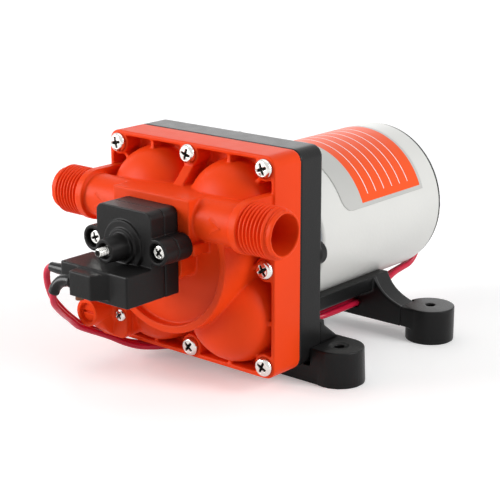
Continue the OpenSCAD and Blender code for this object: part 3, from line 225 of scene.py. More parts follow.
# Pump head
# One orange moulding with four pump chambers that show as domes, a cross tube
# and two ports with a half-inch pipe thread. A mould leaves every edge round.
mm = 0.001
axis_z = 53 * mm
foot_mid = 68.6 * mm
port_y = -12.1 * mm - foot_mid
port_z = 74.7 * mm
thread_pitch = 1.814 * mm
thread_core = 9.38 * mm
thread_depth = 1.08 * mm
thread_from = 44.7 * mm
thread_to = 58.6 * mm
thread_fade = 0.7 * mm
thread_under = 9.15 * mm
thread_in = 8.9 * mm
bore_limit = 8.75 * mm
port_limit = 11 * mm
bypass_front, bypass_seam, screw_end = -17, -13.5, -5.5

record = frame["record"]
slot_of = {part["node"]: part["material_slot"] for part in record["subparts"]}
body_of = {node: body for body, nodes in record["behaviour"]["bodies"].items() for node in nodes}


def evaluated(piece, name):
    """The piece's mesh with its modifiers applied, under a new name."""
    bpy.context.view_layer.update()
    mesh = bpy.data.meshes.new_from_object(piece.evaluated_get(bpy.context.evaluated_depsgraph_get()))
    mesh.name = name
    piece.modifiers.clear()
    piece.data = mesh
    return piece


def new_piece(name, mesh):
    piece = bpy.data.objects.new(name, mesh)
    bpy.context.scene.collection.objects.link(piece)
    return piece


def moulded_copy(name, node, grid, soften, faces, fairings=()):
    """A copy of a CAD piece with the small radii that its mould leaves on every edge.
    Each fairing is a list of points whose hull is moulded in one with the piece."""
    coarse = 1.0
    mesh = frame["nodes"][node].data.copy()
    joined = bmesh.new()
    joined.from_mesh(mesh)
    bmesh.ops.remove_doubles(joined, verts=joined.verts, dist=1e-6)
    for hull in fairings:
        bmesh.ops.convex_hull(joined, input=[joined.verts.new(p) for p in hull])
    joined.to_mesh(mesh)
    joined.free()
    mesh.materials.clear()
    piece = new_piece(name, mesh)
    net = piece.modifiers.new("net", "REMESH")
    net.mode = "VOXEL"
    net.voxel_size = grid * mm * coarse
    ease = piece.modifiers.new("ease", "SMOOTH")
    ease.factor = 0.5
    ease.iterations = max(2, round(soften / coarse ** 2))
    evaluated(piece, name)
    if len(piece.data.polygons) * 2 > faces:
        thin = piece.modifiers.new("thin", "DECIMATE")
        thin.ratio = faces / (len(piece.data.polygons) * 2)
        evaluated(piece, name)
    return piece


def finished(piece, finish, node):
    """Gives a piece its material and its body, and hides the CAD piece that it stands for."""
    piece.data.materials.clear()
    piece.data.materials.append(finish.material)
    piece.data.polygons.foreach_set("use_smooth", [True] * len(piece.data.polygons))
    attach(piece, body_of[node])
    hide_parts(node)


def level_normals(piece):
    """Large flat faces keep their own direction up to the round edges beside them."""
    piece.data.polygons.foreach_set("use_smooth", [True] * len(piece.data.polygons))
    level = piece.modifiers.new("level", "WEIGHTED_NORMAL")
    level.mode = "FACE_AREA"
    level.weight = 60
    return evaluated(piece, piece.name)


def moulded_finish(name, colour, rough, grain, depth, tone=0.06, **plain):
    """Moulded plastic: a fine even grain, slow changes of tone and gloss, faint flow marks."""
    finish = Finish(name, **plain)
    slow = finish.noise(45.0, 3.0)
    shade = finish.mixed(slow, solid(*[c * (1 - tone) for c in colour]),
                         solid(*[min(1.0, c * (1 + tone)) for c in colour]))
    finish.paint("Base Color", shade)
    fine = finish.noise(grain, 2.0)
    finish.paint("Roughness", finish.noise(160.0, 4.0) * 0.12 + (rough - 0.06) + fine * 0.04)
    finish.relief(fine + finish.noise(300.0, 1.0) * 0.6, depth)
    return finish


orange = moulded_finish("orange_moulding", (0.80, 0.054, 0.0055), 0.42, 2600.0, 0.00003,
                        Specular_IOR_Level=0.12)


def screw_wall(front, back):
    """The corners of a block that closes the flange's side round the left bypass screw,
    between two distances from the head's rim in millimetres."""
    return [(x * mm, y * mm - foot_mid, z * mm)
            for x in (-44.5, -41.3) for y in (front, back) for z in (27, 31)]


head = moulded_copy("pump_head_moulding", "pump_head", 0.4, 5, 190000, [screw_wall(bypass_seam, screw_end)])
count = len(head.data.vertices)
points = np.empty(count * 3, np.float32)
head.data.vertices.foreach_get("co", points)
points = points.reshape(-1, 3)
out = np.abs(points[:, 0])
reach_y, reach_z = points[:, 1] - port_y, points[:, 2] - port_z
radius = np.hypot(reach_y, reach_z)
on_thread = (out > thread_from) & (out < thread_to) & (radius > bore_limit) & (radius < port_limit)
grow = np.where(on_thread, thread_under / np.maximum(radius, 1e-9), 1.0)
points[:, 1] = port_y + reach_y * grow
points[:, 2] = port_z + reach_z * grow
head.data.vertices.foreach_set("co", points.ravel())
head.data.update()
level_normals(head)
finished(head, orange, "pump_head")

# Port threads
# The right-handed pipe thread round each port, cut finer than the moulding's net
# can carry. Each is a closed sleeve whose inner wall lies inside the port's own.
thread_turns, thread_rows = 144, 160


def closed_piece(name, verts, faces):
    """A new piece from a list of points and faces, its faces turned outward."""
    mesh = bpy.data.meshes.new(name)
    mesh.from_pydata([tuple(v) for v in verts], [], faces)
    shape = bmesh.new()
    shape.from_mesh(mesh)
    bmesh.ops.recalc_face_normals(shape, faces=shape.faces)
    shape.to_mesh(mesh)
    shape.free()
    return new_piece(name, mesh)


thread_verts, thread_faces = [], []
for side in (-1, 1):
    first = len(thread_verts)
    for row in range(thread_rows + 3):
        reach = thread_from + (thread_to - thread_from) * min(row, thread_rows) / thread_rows
        if row == thread_rows + 2:
            reach = thread_from
        fade = min(1.0, (reach - thread_from) / thread_fade, (thread_to - reach) / thread_fade)
        for k in range(thread_turns):
            a = 2 * math.pi * k / thread_turns
            crest = 0.5 + 0.72 * math.cos(2 * math.pi * side * reach / thread_pitch - a)
            r = thread_core + thread_depth * min(1.0, max(0.0, crest)) * fade
            if row > thread_rows:
                r = thread_in
            thread_verts.append((side * reach, port_y + r * math.cos(a), port_z + r * math.sin(a)))
    for row in range(thread_rows + 3):
        for k in range(thread_turns):
            after = (k + 1) % thread_turns
            near, far = first + row * thread_turns, first + (row + 1) % (thread_rows + 3) * thread_turns
            thread_faces.append((near + k, far + k, far + after, near + after))
finished(closed_piece("port_thread_sleeves", thread_verts, thread_faces), orange, "pump_head")

# Flow arrows
# A raised arrow on the cross tube beside each port points the way of the water.
# Each arm is a bar that follows the round of the tube.
tube_r = 9.2 * mm
arrow_steps = 12
arrow_len, arrow_lap = 6.4, 0.3
arrow_section = ((-0.35, -0.5), (0.35, -0.5), (0.25, 0.28), (-0.25, 0.28))
arrow_verts, arrow_faces = [], []
for tip_x in (35.2 * mm, -29 * mm):
    for lean in (math.radians(150), math.radians(-150)):
        first = len(arrow_verts)
        for step in range(arrow_steps + 1):
            run = (arrow_len * step / arrow_steps - arrow_lap) * mm
            for across, level in arrow_section:
                z = run * math.sin(lean) + across * mm * math.cos(lean)
                x = tip_x + run * math.cos(lean) - across * mm * math.sin(lean)
                arrow_verts.append((x, port_y - math.sqrt((tube_r + level * mm) ** 2 - z * z), port_z + z))
        for step in range(arrow_steps):
            for k in range(4):
                a, b = first + step * 4 + k, first + step * 4 + (k + 1) % 4
                arrow_faces.append((a, b, b + 4, a + 4))
        arrow_faces.append(tuple(first + k for k in range(4)))
        arrow_faces.append(tuple(first + arrow_steps * 4 + k for k in range(4)))
finished(closed_piece("flow_arrows", arrow_verts, arrow_faces), orange, "pump_head")

# Bypass cap
# A second orange moulding at the lower left of the head's front that closes the
# bypass valve. Its slotted adjusting screw sits sunk in the boss.
boss_x, boss_z = -33.8 * mm, 27.2 * mm
boss_foot, web_top = -17.4 * mm - foot_mid, -26 * mm - foot_mid
web_r = 5.2 * mm
web = [(boss_x + web_r * math.cos(a), web_top, boss_z + web_r * math.sin(a))
       for a in np.linspace(math.pi, 2 * math.pi, 16)]
web += [(x * mm, boss_foot, z * mm)
        for x, z in ((-39.4, 25), (-39.4, 19), (-36, 15.6), (-30, 15.6), (-28, 25))]
bypass = level_normals(moulded_copy("bypass_cap_moulding", "bypass_cap", 0.28, 4, 60000,
                                    [web, screw_wall(bypass_front, bypass_seam)]))
finished(bypass, orange, "bypass_cap")
slotted = level_normals(moulded_copy("bypass_adjuster_screw", "bypass_adjuster", 0.16, 4, 24000))
finished(slotted, orange, "bypass_adjuster")

# Drive housing
# The black middle plate that carries the head and the wobble drive.
black = moulded_finish("black_moulding", (0.007, 0.007, 0.0072), 0.3, 2200.0, 0.00004, 0.2,
                       Specular_IOR_Level=0.2)
housing = level_normals(moulded_copy("drive_housing_moulding", "drive_housing", 0.42, 4, 150000))
finished(housing, black, "drive_housing")

# Screws
# Pan-head Phillips screws, nickel plated. A head of each size is made as a height
# over a disc, then set in its places, each turned as the fitter left it. Each cross
# recess is painted near black: painted shade.
head_rings = 44
head_turns = 96


def pan_head(name, radius, height, recess):
    """A pan head of a given radius and height with a cross recess, its underside at zero. Each point keeps
    how deep it is sunk, which paints the recess dark as painted shade.
    """
    sharp = 0.62
    verts, faces, sunk = [], [], []
    reach = np.concatenate([np.linspace(0, recess * 1.15, 26)[1:],
                            np.linspace(recess * 1.15, radius, head_rings - 24)[1:]])
    for r in reach:
        for k in range(head_turns):
            a = 2 * math.pi * k / head_turns
            x, y = r * math.cos(a), r * math.sin(a)
            crown = height * (1 - 0.2 * (r / radius) ** 2)
            edge = max(0.0, (r - radius * 0.72) / (radius * 0.28))
            top = crown - height * sharp * (1 - math.sqrt(max(0.0, 1 - edge ** 2.2)))
            sink = 0.0
            for along, across in ((x, y), (y, x)):
                run = min(1.0, abs(along) / recess)
                half = recess * (0.30 - 0.10 * run)
                wall = min(1.0, max(0.0, (half - abs(across)) / (recess * 0.11)))
                end = min(1.0, max(0.0, (1 - run) * 5.0))
                sink = max(sink, wall * end * height * (0.92 - 0.42 * run))
            lip = height * 0.035 * math.exp(-((r - recess * 1.12) / (recess * 0.16)) ** 2)
            verts.append((x, y, top - sink + lip))
            # Painted shade: the deeper a point lies in the recess, the darker it is painted.
            sunk.append(sink / height)
    rings = len(reach)
    verts.append((0, 0, height * 0.06))
    sunk.append(1.0)
    for k in range(head_turns):
        faces.append((len(verts) - 1, k, (k + 1) % head_turns))
    for ring in range(rings - 1):
        for k in range(head_turns):
            a, b = ring * head_turns + k, ring * head_turns + (k + 1) % head_turns
            faces.append((a, a + head_turns, b + head_turns, b))
    rim = (rings - 1) * head_turns
    base = len(verts)
    for k in range(head_turns):
        a = 2 * math.pi * k / head_turns
        verts.append((radius * math.cos(a), radius * math.sin(a), 0))
    verts.append((0, 0, 0))
    for k in range(head_turns):
        after = (k + 1) % head_turns
        faces.append((rim + k, base + k, base + after, rim + after))
        faces.append((base + k, len(verts) - 1, base + after))
    mesh = bpy.data.meshes.new(name)
    mesh.from_pydata(verts, [], faces)
    shade = mesh.attributes.new("sunk", "FLOAT", "POINT")
    shade.data.foreach_set("value", sunk + [0.0] * (len(verts) - len(sunk)))
    mesh.update()
    piece = new_piece(name, mesh)
    piece.hide_render = True
    return piece


def screw_setter(name):
    """A tree that sets one screw on every point, turned by the point's own angle."""
    tree = bpy.data.node_groups.new(name, "GeometryNodeTree")
    tree.interface.new_socket("Places", in_out="INPUT", socket_type="NodeSocketGeometry")
    tree.interface.new_socket("Screw", in_out="INPUT", socket_type="NodeSocketObject")
    tree.interface.new_socket("Finish", in_out="INPUT", socket_type="NodeSocketMaterial")
    tree.interface.new_socket("Set", in_out="OUTPUT", socket_type="NodeSocketGeometry")
    begin = tree.nodes.new("NodeGroupInput")
    end = tree.nodes.new("NodeGroupOutput")
    shape = tree.nodes.new("GeometryNodeObjectInfo")
    tree.links.new(begin.outputs["Screw"], shape.inputs["Object"])
    turned = tree.nodes.new("GeometryNodeInputNamedAttribute")
    turned.data_type = "FLOAT_VECTOR"
    turned.inputs["Name"].default_value = "turned"
    spread = tree.nodes.new("GeometryNodeInstanceOnPoints")
    tree.links.new(begin.outputs["Places"], spread.inputs["Points"])
    tree.links.new(shape.outputs["Geometry"], spread.inputs["Instance"])
    tree.links.new(turned.outputs["Attribute"], spread.inputs["Rotation"])
    real = tree.nodes.new("GeometryNodeRealizeInstances")
    tree.links.new(spread.outputs["Instances"], real.inputs["Geometry"])
    coat = tree.nodes.new("GeometryNodeSetMaterial")
    tree.links.new(real.outputs["Geometry"], coat.inputs["Geometry"])
    tree.links.new(begin.outputs["Finish"], coat.inputs["Material"])
    tree.links.new(coat.outputs["Geometry"], end.inputs["Set"])
    return tree


screw_tree = screw_setter("screws_in_place")


def set_screws(name, screw, places, towards, turns, finish):
    """Screws at the places, their heads towards a direction, each turned by its angle in degrees."""
    mesh = bpy.data.meshes.new(name)
    mesh.from_pydata([tuple(place) for place in places], [], [])
    angles = mesh.attributes.new("turned", "FLOAT_VECTOR", "POINT")
    facing = Vector(towards).to_track_quat("Z", "X")
    for k in range(len(places)):
        spin = Quaternion((0, 0, 1), math.radians(turns[k]))
        angles.data[k].vector = (facing @ spin).to_euler()
    piece = new_piece(name, mesh)
    setter = piece.modifiers.new("set", "NODES")
    setter.node_group = screw_tree
    sockets = [item for item in screw_tree.interface.items_tree if item.in_out == "INPUT"]
    ids = {item.name: item.identifier for item in sockets}
    setter[ids["Screw"]] = screw
    setter[ids["Finish"]] = finish.material
    return evaluated(piece, name)


def with_shank(screw, radius, length, pitch):
    """Adds the threaded shank under a screw's head, its end pointed."""
    steps = 20
    verts, faces = [], []
    rows = int(length / pitch * 6)
    for row in range(rows + 1):
        depth = -length * row / rows
        for k in range(steps):
            swing = 2 * math.pi * k / steps
            crest = 0.5 + 0.5 * math.cos(2 * math.pi * (depth / pitch) - swing)
            tip = min(1.0, (length + depth) / (1.5 * radius) + 0.25)
            r = radius * (0.78 + 0.22 * crest) * tip
            verts.append((r * math.cos(swing), r * math.sin(swing), depth))
    for row in range(rows):
        for k in range(steps):
            after = (k + 1) % steps
            a, b = row * steps + k, row * steps + after
            faces.append((a, a + steps, b + steps, b))
    faces.append(tuple(reversed(range(steps))))
    faces.append(tuple(rows * steps + k for k in range(steps)))
    shank = bmesh.new()
    shank.from_mesh(screw.data)
    made = [shank.verts.new(v) for v in verts]
    for face in faces:
        shank.faces.new([made[k] for k in face])
    bmesh.ops.recalc_face_normals(shank, faces=shank.faces)
    shank.to_mesh(screw.data)
    shank.free()
    return screw


nickel = Finish("nickel_plate", Metallic=1.0)
plate_tone = nickel.noise(260.0, 4.0)
plate = nickel.mixed(plate_tone, solid(0.58, 0.57, 0.54), solid(0.82, 0.81, 0.78))
# Painted shade: the screws' cross recesses and the set screw's socket and wider part are painted near black
# and made rougher, by the depth value each point keeps.
sunk = (nickel.node("ShaderNodeAttribute", {"attribute_name": "sunk"}, None, "Fac") * 3.0).clamped()
nickel.paint("Base Color", nickel.mixed(sunk, plate, solid(0.035, 0.032, 0.03)))
nickel.paint("Roughness", nickel.noise(900.0, 3.0) * 0.12 + 0.14 + sunk * 0.4)
nickel.relief(nickel.noise(1900.0, 2.0), 0.00003)

corner = 5.25 * mm
middle = 4.8 * mm
rim_y = -foot_mid
half_w = 45.65 * mm
half_h = 46.55 * mm
mid_z = 54.15 * mm
housing_places = []
for side in (-1, 1):
    for up in (-1, 1):
        housing_places.append((side * (half_w - corner), rim_y, mid_z + up * (half_h - corner)))
for side in (-1, 1):
    housing_places.append((side * (half_w - middle), rim_y, mid_z))
    housing_places.append((0, rim_y, mid_z + side * (half_h - middle)))
housing_turns = (38, 12, 65, 21, 5, 50, 33, 74)
big_head = pan_head("housing_screw_head", 4.1 * mm, 2.2 * mm, 2.55 * mm)
big_screw = with_shank(big_head, 1.9 * mm, 28 * mm, 1.4 * mm)
housing_screws = set_screws("housing_screw_set", big_screw, housing_places, (0, -1, 0), housing_turns, nickel)
finished(housing_screws, nickel, "housing_screws")
cap_places = [(boss_x + side * 9.2 * mm, bypass_front * mm - foot_mid, boss_z - side * 1.8 * mm)
              for side in (-1, 1)]
cap_head = pan_head("bypass_screw_head", 2.8 * mm, 1.6 * mm, 1.75 * mm)
cap_screw = with_shank(cap_head, 1 * mm, 9 * mm, 1 * mm)
cap_screws = set_screws("bypass_screw_set", cap_screw, cap_places, (0, -1, 0), (15, 40), nickel)
finished(cap_screws, nickel, "bypass_screws")

# Motor
# A painted steel can between a grey front plate and a black end cap.
can_low, can_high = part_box("motor_can")


def turned_piece(name, outline, steps=192):
    """A closed outline of (radius, y) points turned about the pump axis."""
    verts, faces = [], []
    for k in range(steps):
        a = 2 * math.pi * k / steps
        for r, y in outline:
            verts.append((r * math.cos(a), y, axis_z + r * math.sin(a)))
    n = len(outline)
    for k in range(steps):
        for j in range(n):
            a, b = k * n + j, k * n + (j + 1) % n
            c, d = ((k + 1) % steps) * n + (j + 1) % n, ((k + 1) % steps) * n + j
            faces.append((a, b, c, d))
    return closed_piece(name, verts, faces)


def arc(centre, radius, start, stop, steps):
    """Points of a round edge, from one angle to another in degrees."""
    return [(centre[0] + radius * math.cos(math.radians(a)),
             centre[1] + radius * math.sin(math.radians(a)))
            for a in np.linspace(start, stop, steps)]


can_r = 35.2 * mm
can_wall = 2 * mm
front_y, back_y = can_low.y, can_high.y
bend = 2 * mm
hem = 0.35 * mm
can_outline = (arc((can_r - bend, front_y + bend), bend, -90, 0, 12)
               + arc((can_r - hem, back_y - hem), hem, 0, 90, 5)
               + [(can_r - can_wall, back_y), (can_r - can_wall, front_y + bend)]
               + [(can_r - bend - 0.02 * mm, front_y + bend)])
paint = Finish("motor_paint", Coat_Weight=0.25, Coat_Roughness=0.22)
patch = paint.noise(30.0, 3.0)
paint.paint("Base Color", paint.mixed(patch, solid(0.66, 0.66, 0.635), solid(0.73, 0.73, 0.705)))
paint.paint("Roughness", paint.noise(220.0, 3.0) * 0.1 + 0.36)
paint.relief(paint.noise(700.0, 2.0), 0.00004)
can = level_normals(turned_piece("motor_can_shell", can_outline))
finished(can, paint, "motor_can")

grey = Finish("plate_paint", Base_Color=solid(0.2, 0.215, 0.24))
grey.paint("Roughness", grey.noise(260.0, 3.0) * 0.12 + 0.34)
grey.relief(grey.noise(900.0, 2.0), 0.00004)
front_plate = level_normals(moulded_copy("motor_front_plate_casting", "motor_front_plate", 0.45, 3, 80000))
finished(front_plate, grey, "motor_front_plate")
end_cap = level_normals(moulded_copy("motor_end_cap_moulding", "motor_end_cap", 0.32, 1, 80000))
finished(end_cap, black, "motor_end_cap")

# Label
# Thin printed film round the can's upper side: an orange field with plain white
# rules on a silver ground, its lower front corner cut round. It bears no words.
label_r = can_r + 0.21 * mm
label_in = can_r + 0.06 * mm
label_front, label_back = [point.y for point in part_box("motor_label")]
label_low = math.radians(17.5)
corner_run = 6 * mm
around, along = 220, 60
label_verts, label_faces = [], []
for layer_r in (label_r, label_in):
    for i in range(around + 1):
        a = label_low + (math.pi - 2 * label_low) * i / around
        rise = can_r * (math.sin(a) - math.sin(label_low))
        lift = max(0.0, corner_run - rise)
        front = label_front + corner_run - math.sqrt(max(0.0, corner_run ** 2 - lift ** 2))
        for j in range(along + 1):
            y = front + (label_back - front) * j / along
            label_verts.append((layer_r * math.cos(a), y, axis_z + layer_r * math.sin(a)))
layer = (around + 1) * (along + 1)
for i in range(around):
    for j in range(along):
        a = i * (along + 1) + j
        label_faces.append((a, a + 1, a + along + 2, a + along + 1))
        label_faces.append((a + layer + along + 1, a + layer + along + 2, a + layer + 1, a + layer))
    for j in (0, along):
        a = i * (along + 1) + j
        b = a + along + 1
        side = (a, b, b + layer, a + layer)
        label_faces.append(side if j == 0 else side[::-1])
for j in range(along):
    for i in (0, around):
        a = i * (along + 1) + j
        side = (a + 1, a, a + layer, a + layer + 1)
        label_faces.append(side if i == 0 else side[::-1])
film = Finish("printed_film", Specular_IOR_Level=0.22)
place_x, place_y, place_z = film.axes()
climb = (place_z - axis_z).angle(abs(place_x))
field_low = math.radians(20.5)
field_front, field_back = 76.5 * mm - foot_mid, 121.5 * mm - foot_mid
field = place_y.between(field_front, field_back) * (climb > field_low)
rule_gap = 6.2 * mm
rule_first = 82 * mm - foot_mid
rule_w = 0.45 * mm
rule_low = math.radians(26)
rules = None
for k in range(6):
    line_y = rule_first + rule_gap * k
    line = place_y.between(line_y, line_y + rule_w)
    rules = line if rules is None else rules + line
rules = rules * (climb > rule_low) * field
ground = film.mixed(film.noise(40.0, 3.0), solid(0.50, 0.50, 0.48), solid(0.57, 0.57, 0.55))
printed = film.mixed(field, ground, solid(0.9, 0.09, 0.01))
film.paint("Base Color", film.mixed(rules.clamped(), printed, solid(0.86, 0.85, 0.84)))
film.paint("Roughness", film.noise(300.0, 3.0) * 0.1 + 0.32)
finished(closed_piece("motor_label_film", label_verts, label_faces), film, "motor_label")

# Base and feet
# A black moulded cradle under the drive housing and the motor, with two arms at
# the rear. Each of its four tongues is pressed into a soft rubber foot.
base = level_normals(moulded_copy("motor_base_moulding", "motor_base", 0.42, 4, 150000))
finished(base, black, "motor_base")
rubber = Finish("foot_rubber", Base_Color=solid(0.006, 0.006, 0.0062), Specular_IOR_Level=0.18)
rubber.paint("Roughness", rubber.noise(120.0, 4.0) * 0.16 + 0.26)
rubber.relief(rubber.noise(1500.0, 3.0), 0.00006)
for name in ("front_feet", "rear_feet"):
    feet = level_normals(moulded_copy(name + "_rubber", name, 0.33, 5, 90000))
    finished(feet, rubber, name)

# Pressure switch
# Two charcoal mouldings screwed to the front of the head. The cover has a raised
# disc with a tube for the adjusting screw and a box for the microswitch.
charcoal = moulded_finish("charcoal_moulding", (0.009, 0.0085, 0.0085), 0.34, 1900.0, 0.00006, 0.2,
                          Specular_IOR_Level=0.14)
box_top = 58.2 * mm
box_blend, box_reach = 1.2 * mm, 0.8 * mm
for name, grid in (("switch_base", 0.3), ("switch_cover", 0.26)):
    shell = moulded_copy(name + "_moulding", name, grid, 4, 110000)
    if name == "switch_cover":
        eased = shell.vertex_groups.new(name="microswitch_box")
        for vert in shell.data.vertices:
            share = (box_top + box_reach - vert.co.z) / box_blend
            eased.add([vert.index], min(1.0, max(0.0, share)), "REPLACE")
        ease = shell.modifiers.new("ease", "SMOOTH")
        ease.vertex_group = eased.name
        ease.iterations = 18
        evaluated(shell, shell.name)
    finished(level_normals(shell), charcoal, name)
ear_pitch = 35.4 * mm
switch_z = 65.2 * mm
seat_y = -35.4 * mm - foot_mid
ear_places = [(side * ear_pitch / 2, seat_y, switch_z) for side in (-1, 1)]
small_head = pan_head("switch_screw_head", 3.4 * mm, 1.9 * mm, 2.15 * mm)
small_screw = with_shank(small_head, 1.5 * mm, 12 * mm, 1.1 * mm)
switch_screws = set_screws("switch_screw_set", small_screw, ear_places, (0, -1, 0), (20, 52), nickel)
finished(switch_screws, nickel, "switch_screws")

# Pressure adjuster
# A nickel-plated set screw in the cover's tube: a threaded tip with a hexagon
# socket and a wider part that stays in the dark of the tube. The socket and the
# wider part are painted dark as painted shade.
set_low, set_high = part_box("switch_adjuster")
tip_y, collar_y = set_low.y, set_low.y + 5.5 * mm
tip_r, collar_r, socket_flat = 1.9 * mm, 3.2 * mm, 0.87 * mm
set_pitch, set_depth = 0.85 * mm, 0.26 * mm
set_turns = 48
# The third number of each ring is how dark it is painted: painted shade in the hexagon socket and on the
# wider part inside the tube, none on the thread.
set_rings = [(tip_y + 2 * mm, 0, 1.0), (tip_y, 0, 1.0), (tip_y, 1.5 * mm, 0.0)]
set_rings += [(tip_y + 0.35 * mm + 5.1 * mm * k / 60, tip_r, 0.0) for k in range(61)]
set_rings += [(collar_y, tip_r, 0.2), (collar_y, collar_r, 1.0), (set_high.y, collar_r, 1.0)]
set_verts, set_faces, set_painted_shade = [], [], []
for y, r, dark in set_rings:
    for k in range(set_turns):
        a = 2 * math.pi * k / set_turns
        reach = r
        if r == 0:
            reach = socket_flat / math.cos(a % (math.pi / 3) - math.pi / 6)
        elif dark == 0 and y > tip_y:
            reach = r - set_depth * (0.5 + 0.5 * math.cos(2 * math.pi * y / set_pitch - a))
        set_verts.append((reach * math.cos(a), y, switch_z + reach * math.sin(a)))
        set_painted_shade.append(dark)
for ring in range(len(set_rings) - 1):
    for k in range(set_turns):
        a, b = ring * set_turns + k, ring * set_turns + (k + 1) % set_turns
        set_faces.append((a, b, b + set_turns, a + set_turns))
set_faces.append(tuple(range(set_turns)))
set_faces.append(tuple(len(set_verts) - set_turns + k for k in range(set_turns)))
set_screw = closed_piece("pressure_set_screw", set_verts, set_faces)
set_screw.data.attributes.new("sunk", "FLOAT", "POINT").data.foreach_set("value", set_painted_shade)
finished(set_screw, nickel, "switch_adjuster")

# Leads
# A pair of crimson vinyl leads from the switch, under the pump along the base to
# the motor's rear. They are held at both ends and lie in the base's slot.
lead_r = 1.4 * mm
lead_a = [(-28.5, -49.5, 53.2), (-31.3, -49.5, 53.1), (-33.7, -49.4, 50.8), (-34.6, -48.9, 47),
          (-35.6, -47.2, 42.6), (-37.4, -43.6, 37), (-39.2, -37, 29.9), (-41, -29.5, 23.3),
          (-42.2, -23, 18.6), (-42, -17.5, 15.2), (-41.4, -12.5, 12.7), (-40, -7.5, 9.9),
          (-37, -1.4, 6.2), (-31, 4.6, 5.1), (-22, 13.6, 5.3), (-9.8, 30.5, 5.9), (-2, 41, 8),
          (14, 64, 11.8), (16.5, 74, 12.4), (16.5, 92, 12.4),
          (16.5, 104, 12.4), (15.6, 112, 13.5), (14.7, 120, 15.8), (14.2, 127, 17.5), (14.2, 133, 18.3),
          (14.3, 137.4, 19), (14.4, 140.8, 20.9), (14.4, 143.8, 24.1), (14.4, 146, 28.6), (14.4, 146.9, 33.4),
          (14.4, 144.9, 37.1), (14.4, 142, 38), (14.4, 140, 38), (14.4, 132, 38)]
lead_b = [(-20.8, -57.6, 47.5), (-21.1, -57.9, 44.6), (-22.6, -56, 40.6), (-26.4, -50, 35.6),
          (-31.6, -42.6, 30.4), (-35.8, -36.2, 26.2), (-38.7, -29, 20.5), (-39.2, -22.5, 16.8),
          (-38.9, -16.8, 13.9), (-37.6, -11.2, 10.9), (-35, -5.2, 7.2), (-31.2, -0.6, 5.2), (-25.8, 3.8, 4.9),
          (-18.8, 11.6, 5.2), (-7.4, 28.7, 5.6), (0.4, 39.2, 8), (16.8, 62.2, 11.8), (19.5, 73, 12.4),
          (19.5, 92, 12.4), (19.5, 104, 12.4), (18.7, 112, 14.4), (17.8, 120, 17.2), (17.3, 127, 18.9),
          (17.4, 133, 19.8), (17.7, 137.4, 20.7), (17.9, 140.6, 22.6), (18, 143.4, 25.8), (17.9, 145.4, 29.8),
          (17.7, 146.2, 34), (17.6, 144.4, 37.3), (17.6, 142, 38), (17.6, 140, 38), (17.6, 132, 38)]


def smooth_route(route, steps):
    """A smooth curve through the points of a route, in metres in the pump's own frame."""
    spots = [Vector((x * mm, y * mm - foot_mid, z * mm)) for x, y, z in route]
    padded = [spots[0] * 2 - spots[1]] + spots + [spots[-1] * 2 - spots[-2]]
    line = []
    for k in range(1, len(padded) - 2):
        p0, p1, p2, p3 = padded[k - 1:k + 3]
        for step in range(steps):
            t = step / steps
            line.append(0.5 * ((2 * p1) + (p2 - p0) * t + (2 * p0 - 5 * p1 + 4 * p2 - p3) * t * t
                               + (3 * p1 - p0 - 3 * p2 + p3) * t ** 3))
    line.append(spots[-1])
    return line


def tube(name, line, radii, sides=20):
    """A closed tube of changing radius along a line, its turn carried evenly from ring to ring."""
    final = len(line) - 1
    headings = [(line[min(k + 1, final)] - line[max(k - 1, 0)]).normalized() for k in range(final + 1)]
    across = headings[0].orthogonal().normalized()
    verts, faces = [], []
    for k, spot in enumerate(line):
        if k:
            across = headings[k - 1].rotation_difference(headings[k]) @ across
        up = headings[k].cross(across)
        for j in range(sides):
            a = 2 * math.pi * j / sides
            verts.append(spot + radii[k] * (across * math.cos(a) + up * math.sin(a)))
    for k in range(final):
        for j in range(sides):
            a, b = k * sides + j, k * sides + (j + 1) % sides
            faces.append((a, b, b + sides, a + sides))
    faces.append(tuple(reversed(range(sides))))
    faces.append(tuple(final * sides + j for j in range(sides)))
    return closed_piece(name, verts, faces)


crimson = Finish("lead_vinyl", Specular_IOR_Level=0.35)
crimson.paint("Base Color", crimson.mixed(crimson.noise(60.0), solid(0.52, 0.006, 0.035),
                                          solid(0.64, 0.012, 0.055)))
crimson.paint("Roughness", crimson.noise(400.0, 3.0) * 0.14 + 0.24)
for name, route in (("lead_a_vinyl", lead_a), ("lead_b_vinyl", lead_b)):
    line = smooth_route(route, 8)
    lead = tube(name, line, [lead_r] * len(line))
    finished(lead, crimson, "red_leads")
    length = sum((b - a).length for a, b in zip(line, line[1:]))

# Sleeves
# Black vinyl sleeves pushed over the two terminals, tight on the lead at one end.
vinyl = Finish("sleeve_vinyl", Base_Color=solid(0.005, 0.005, 0.0053), Specular_IOR_Level=0.22)
vinyl.paint("Roughness", vinyl.noise(300.0, 3.0) * 0.12 + 0.18)
sleeve_a = [(-22, -49.5, 53.2), (-25, -49.5, 53.2), (-28, -49.5, 53.2), (-31, -49.5, 53.2)]
sleeve_b = [(-12.1, -55.6, 52), (-14.6, -55.6, 52), (-18, -56.1, 51), (-20.2, -57, 48.6), (-21, -57.8, 45.6)]
for name, route, outer in (("sleeve_a", sleeve_a, 2.3 * mm), ("sleeve_b", sleeve_b, 2.5 * mm)):
    line = smooth_route(route, 10)
    span = len(line) - 1
    radii = []
    for k in range(span + 1):
        run = k / span
        mouth = 0.12 * mm * math.exp(-(run / 0.05) ** 2)
        pinch = 0.25 * mm * min(1.0, max(0.0, (run - 0.45) / 0.4))
        close = 0.5 * mm * max(0.0, (run - 0.94) / 0.06) ** 2
        radii.append(outer + mouth - pinch - close)
    finished(tube(name, line, radii, 28), vinyl, "lead_sleeves")

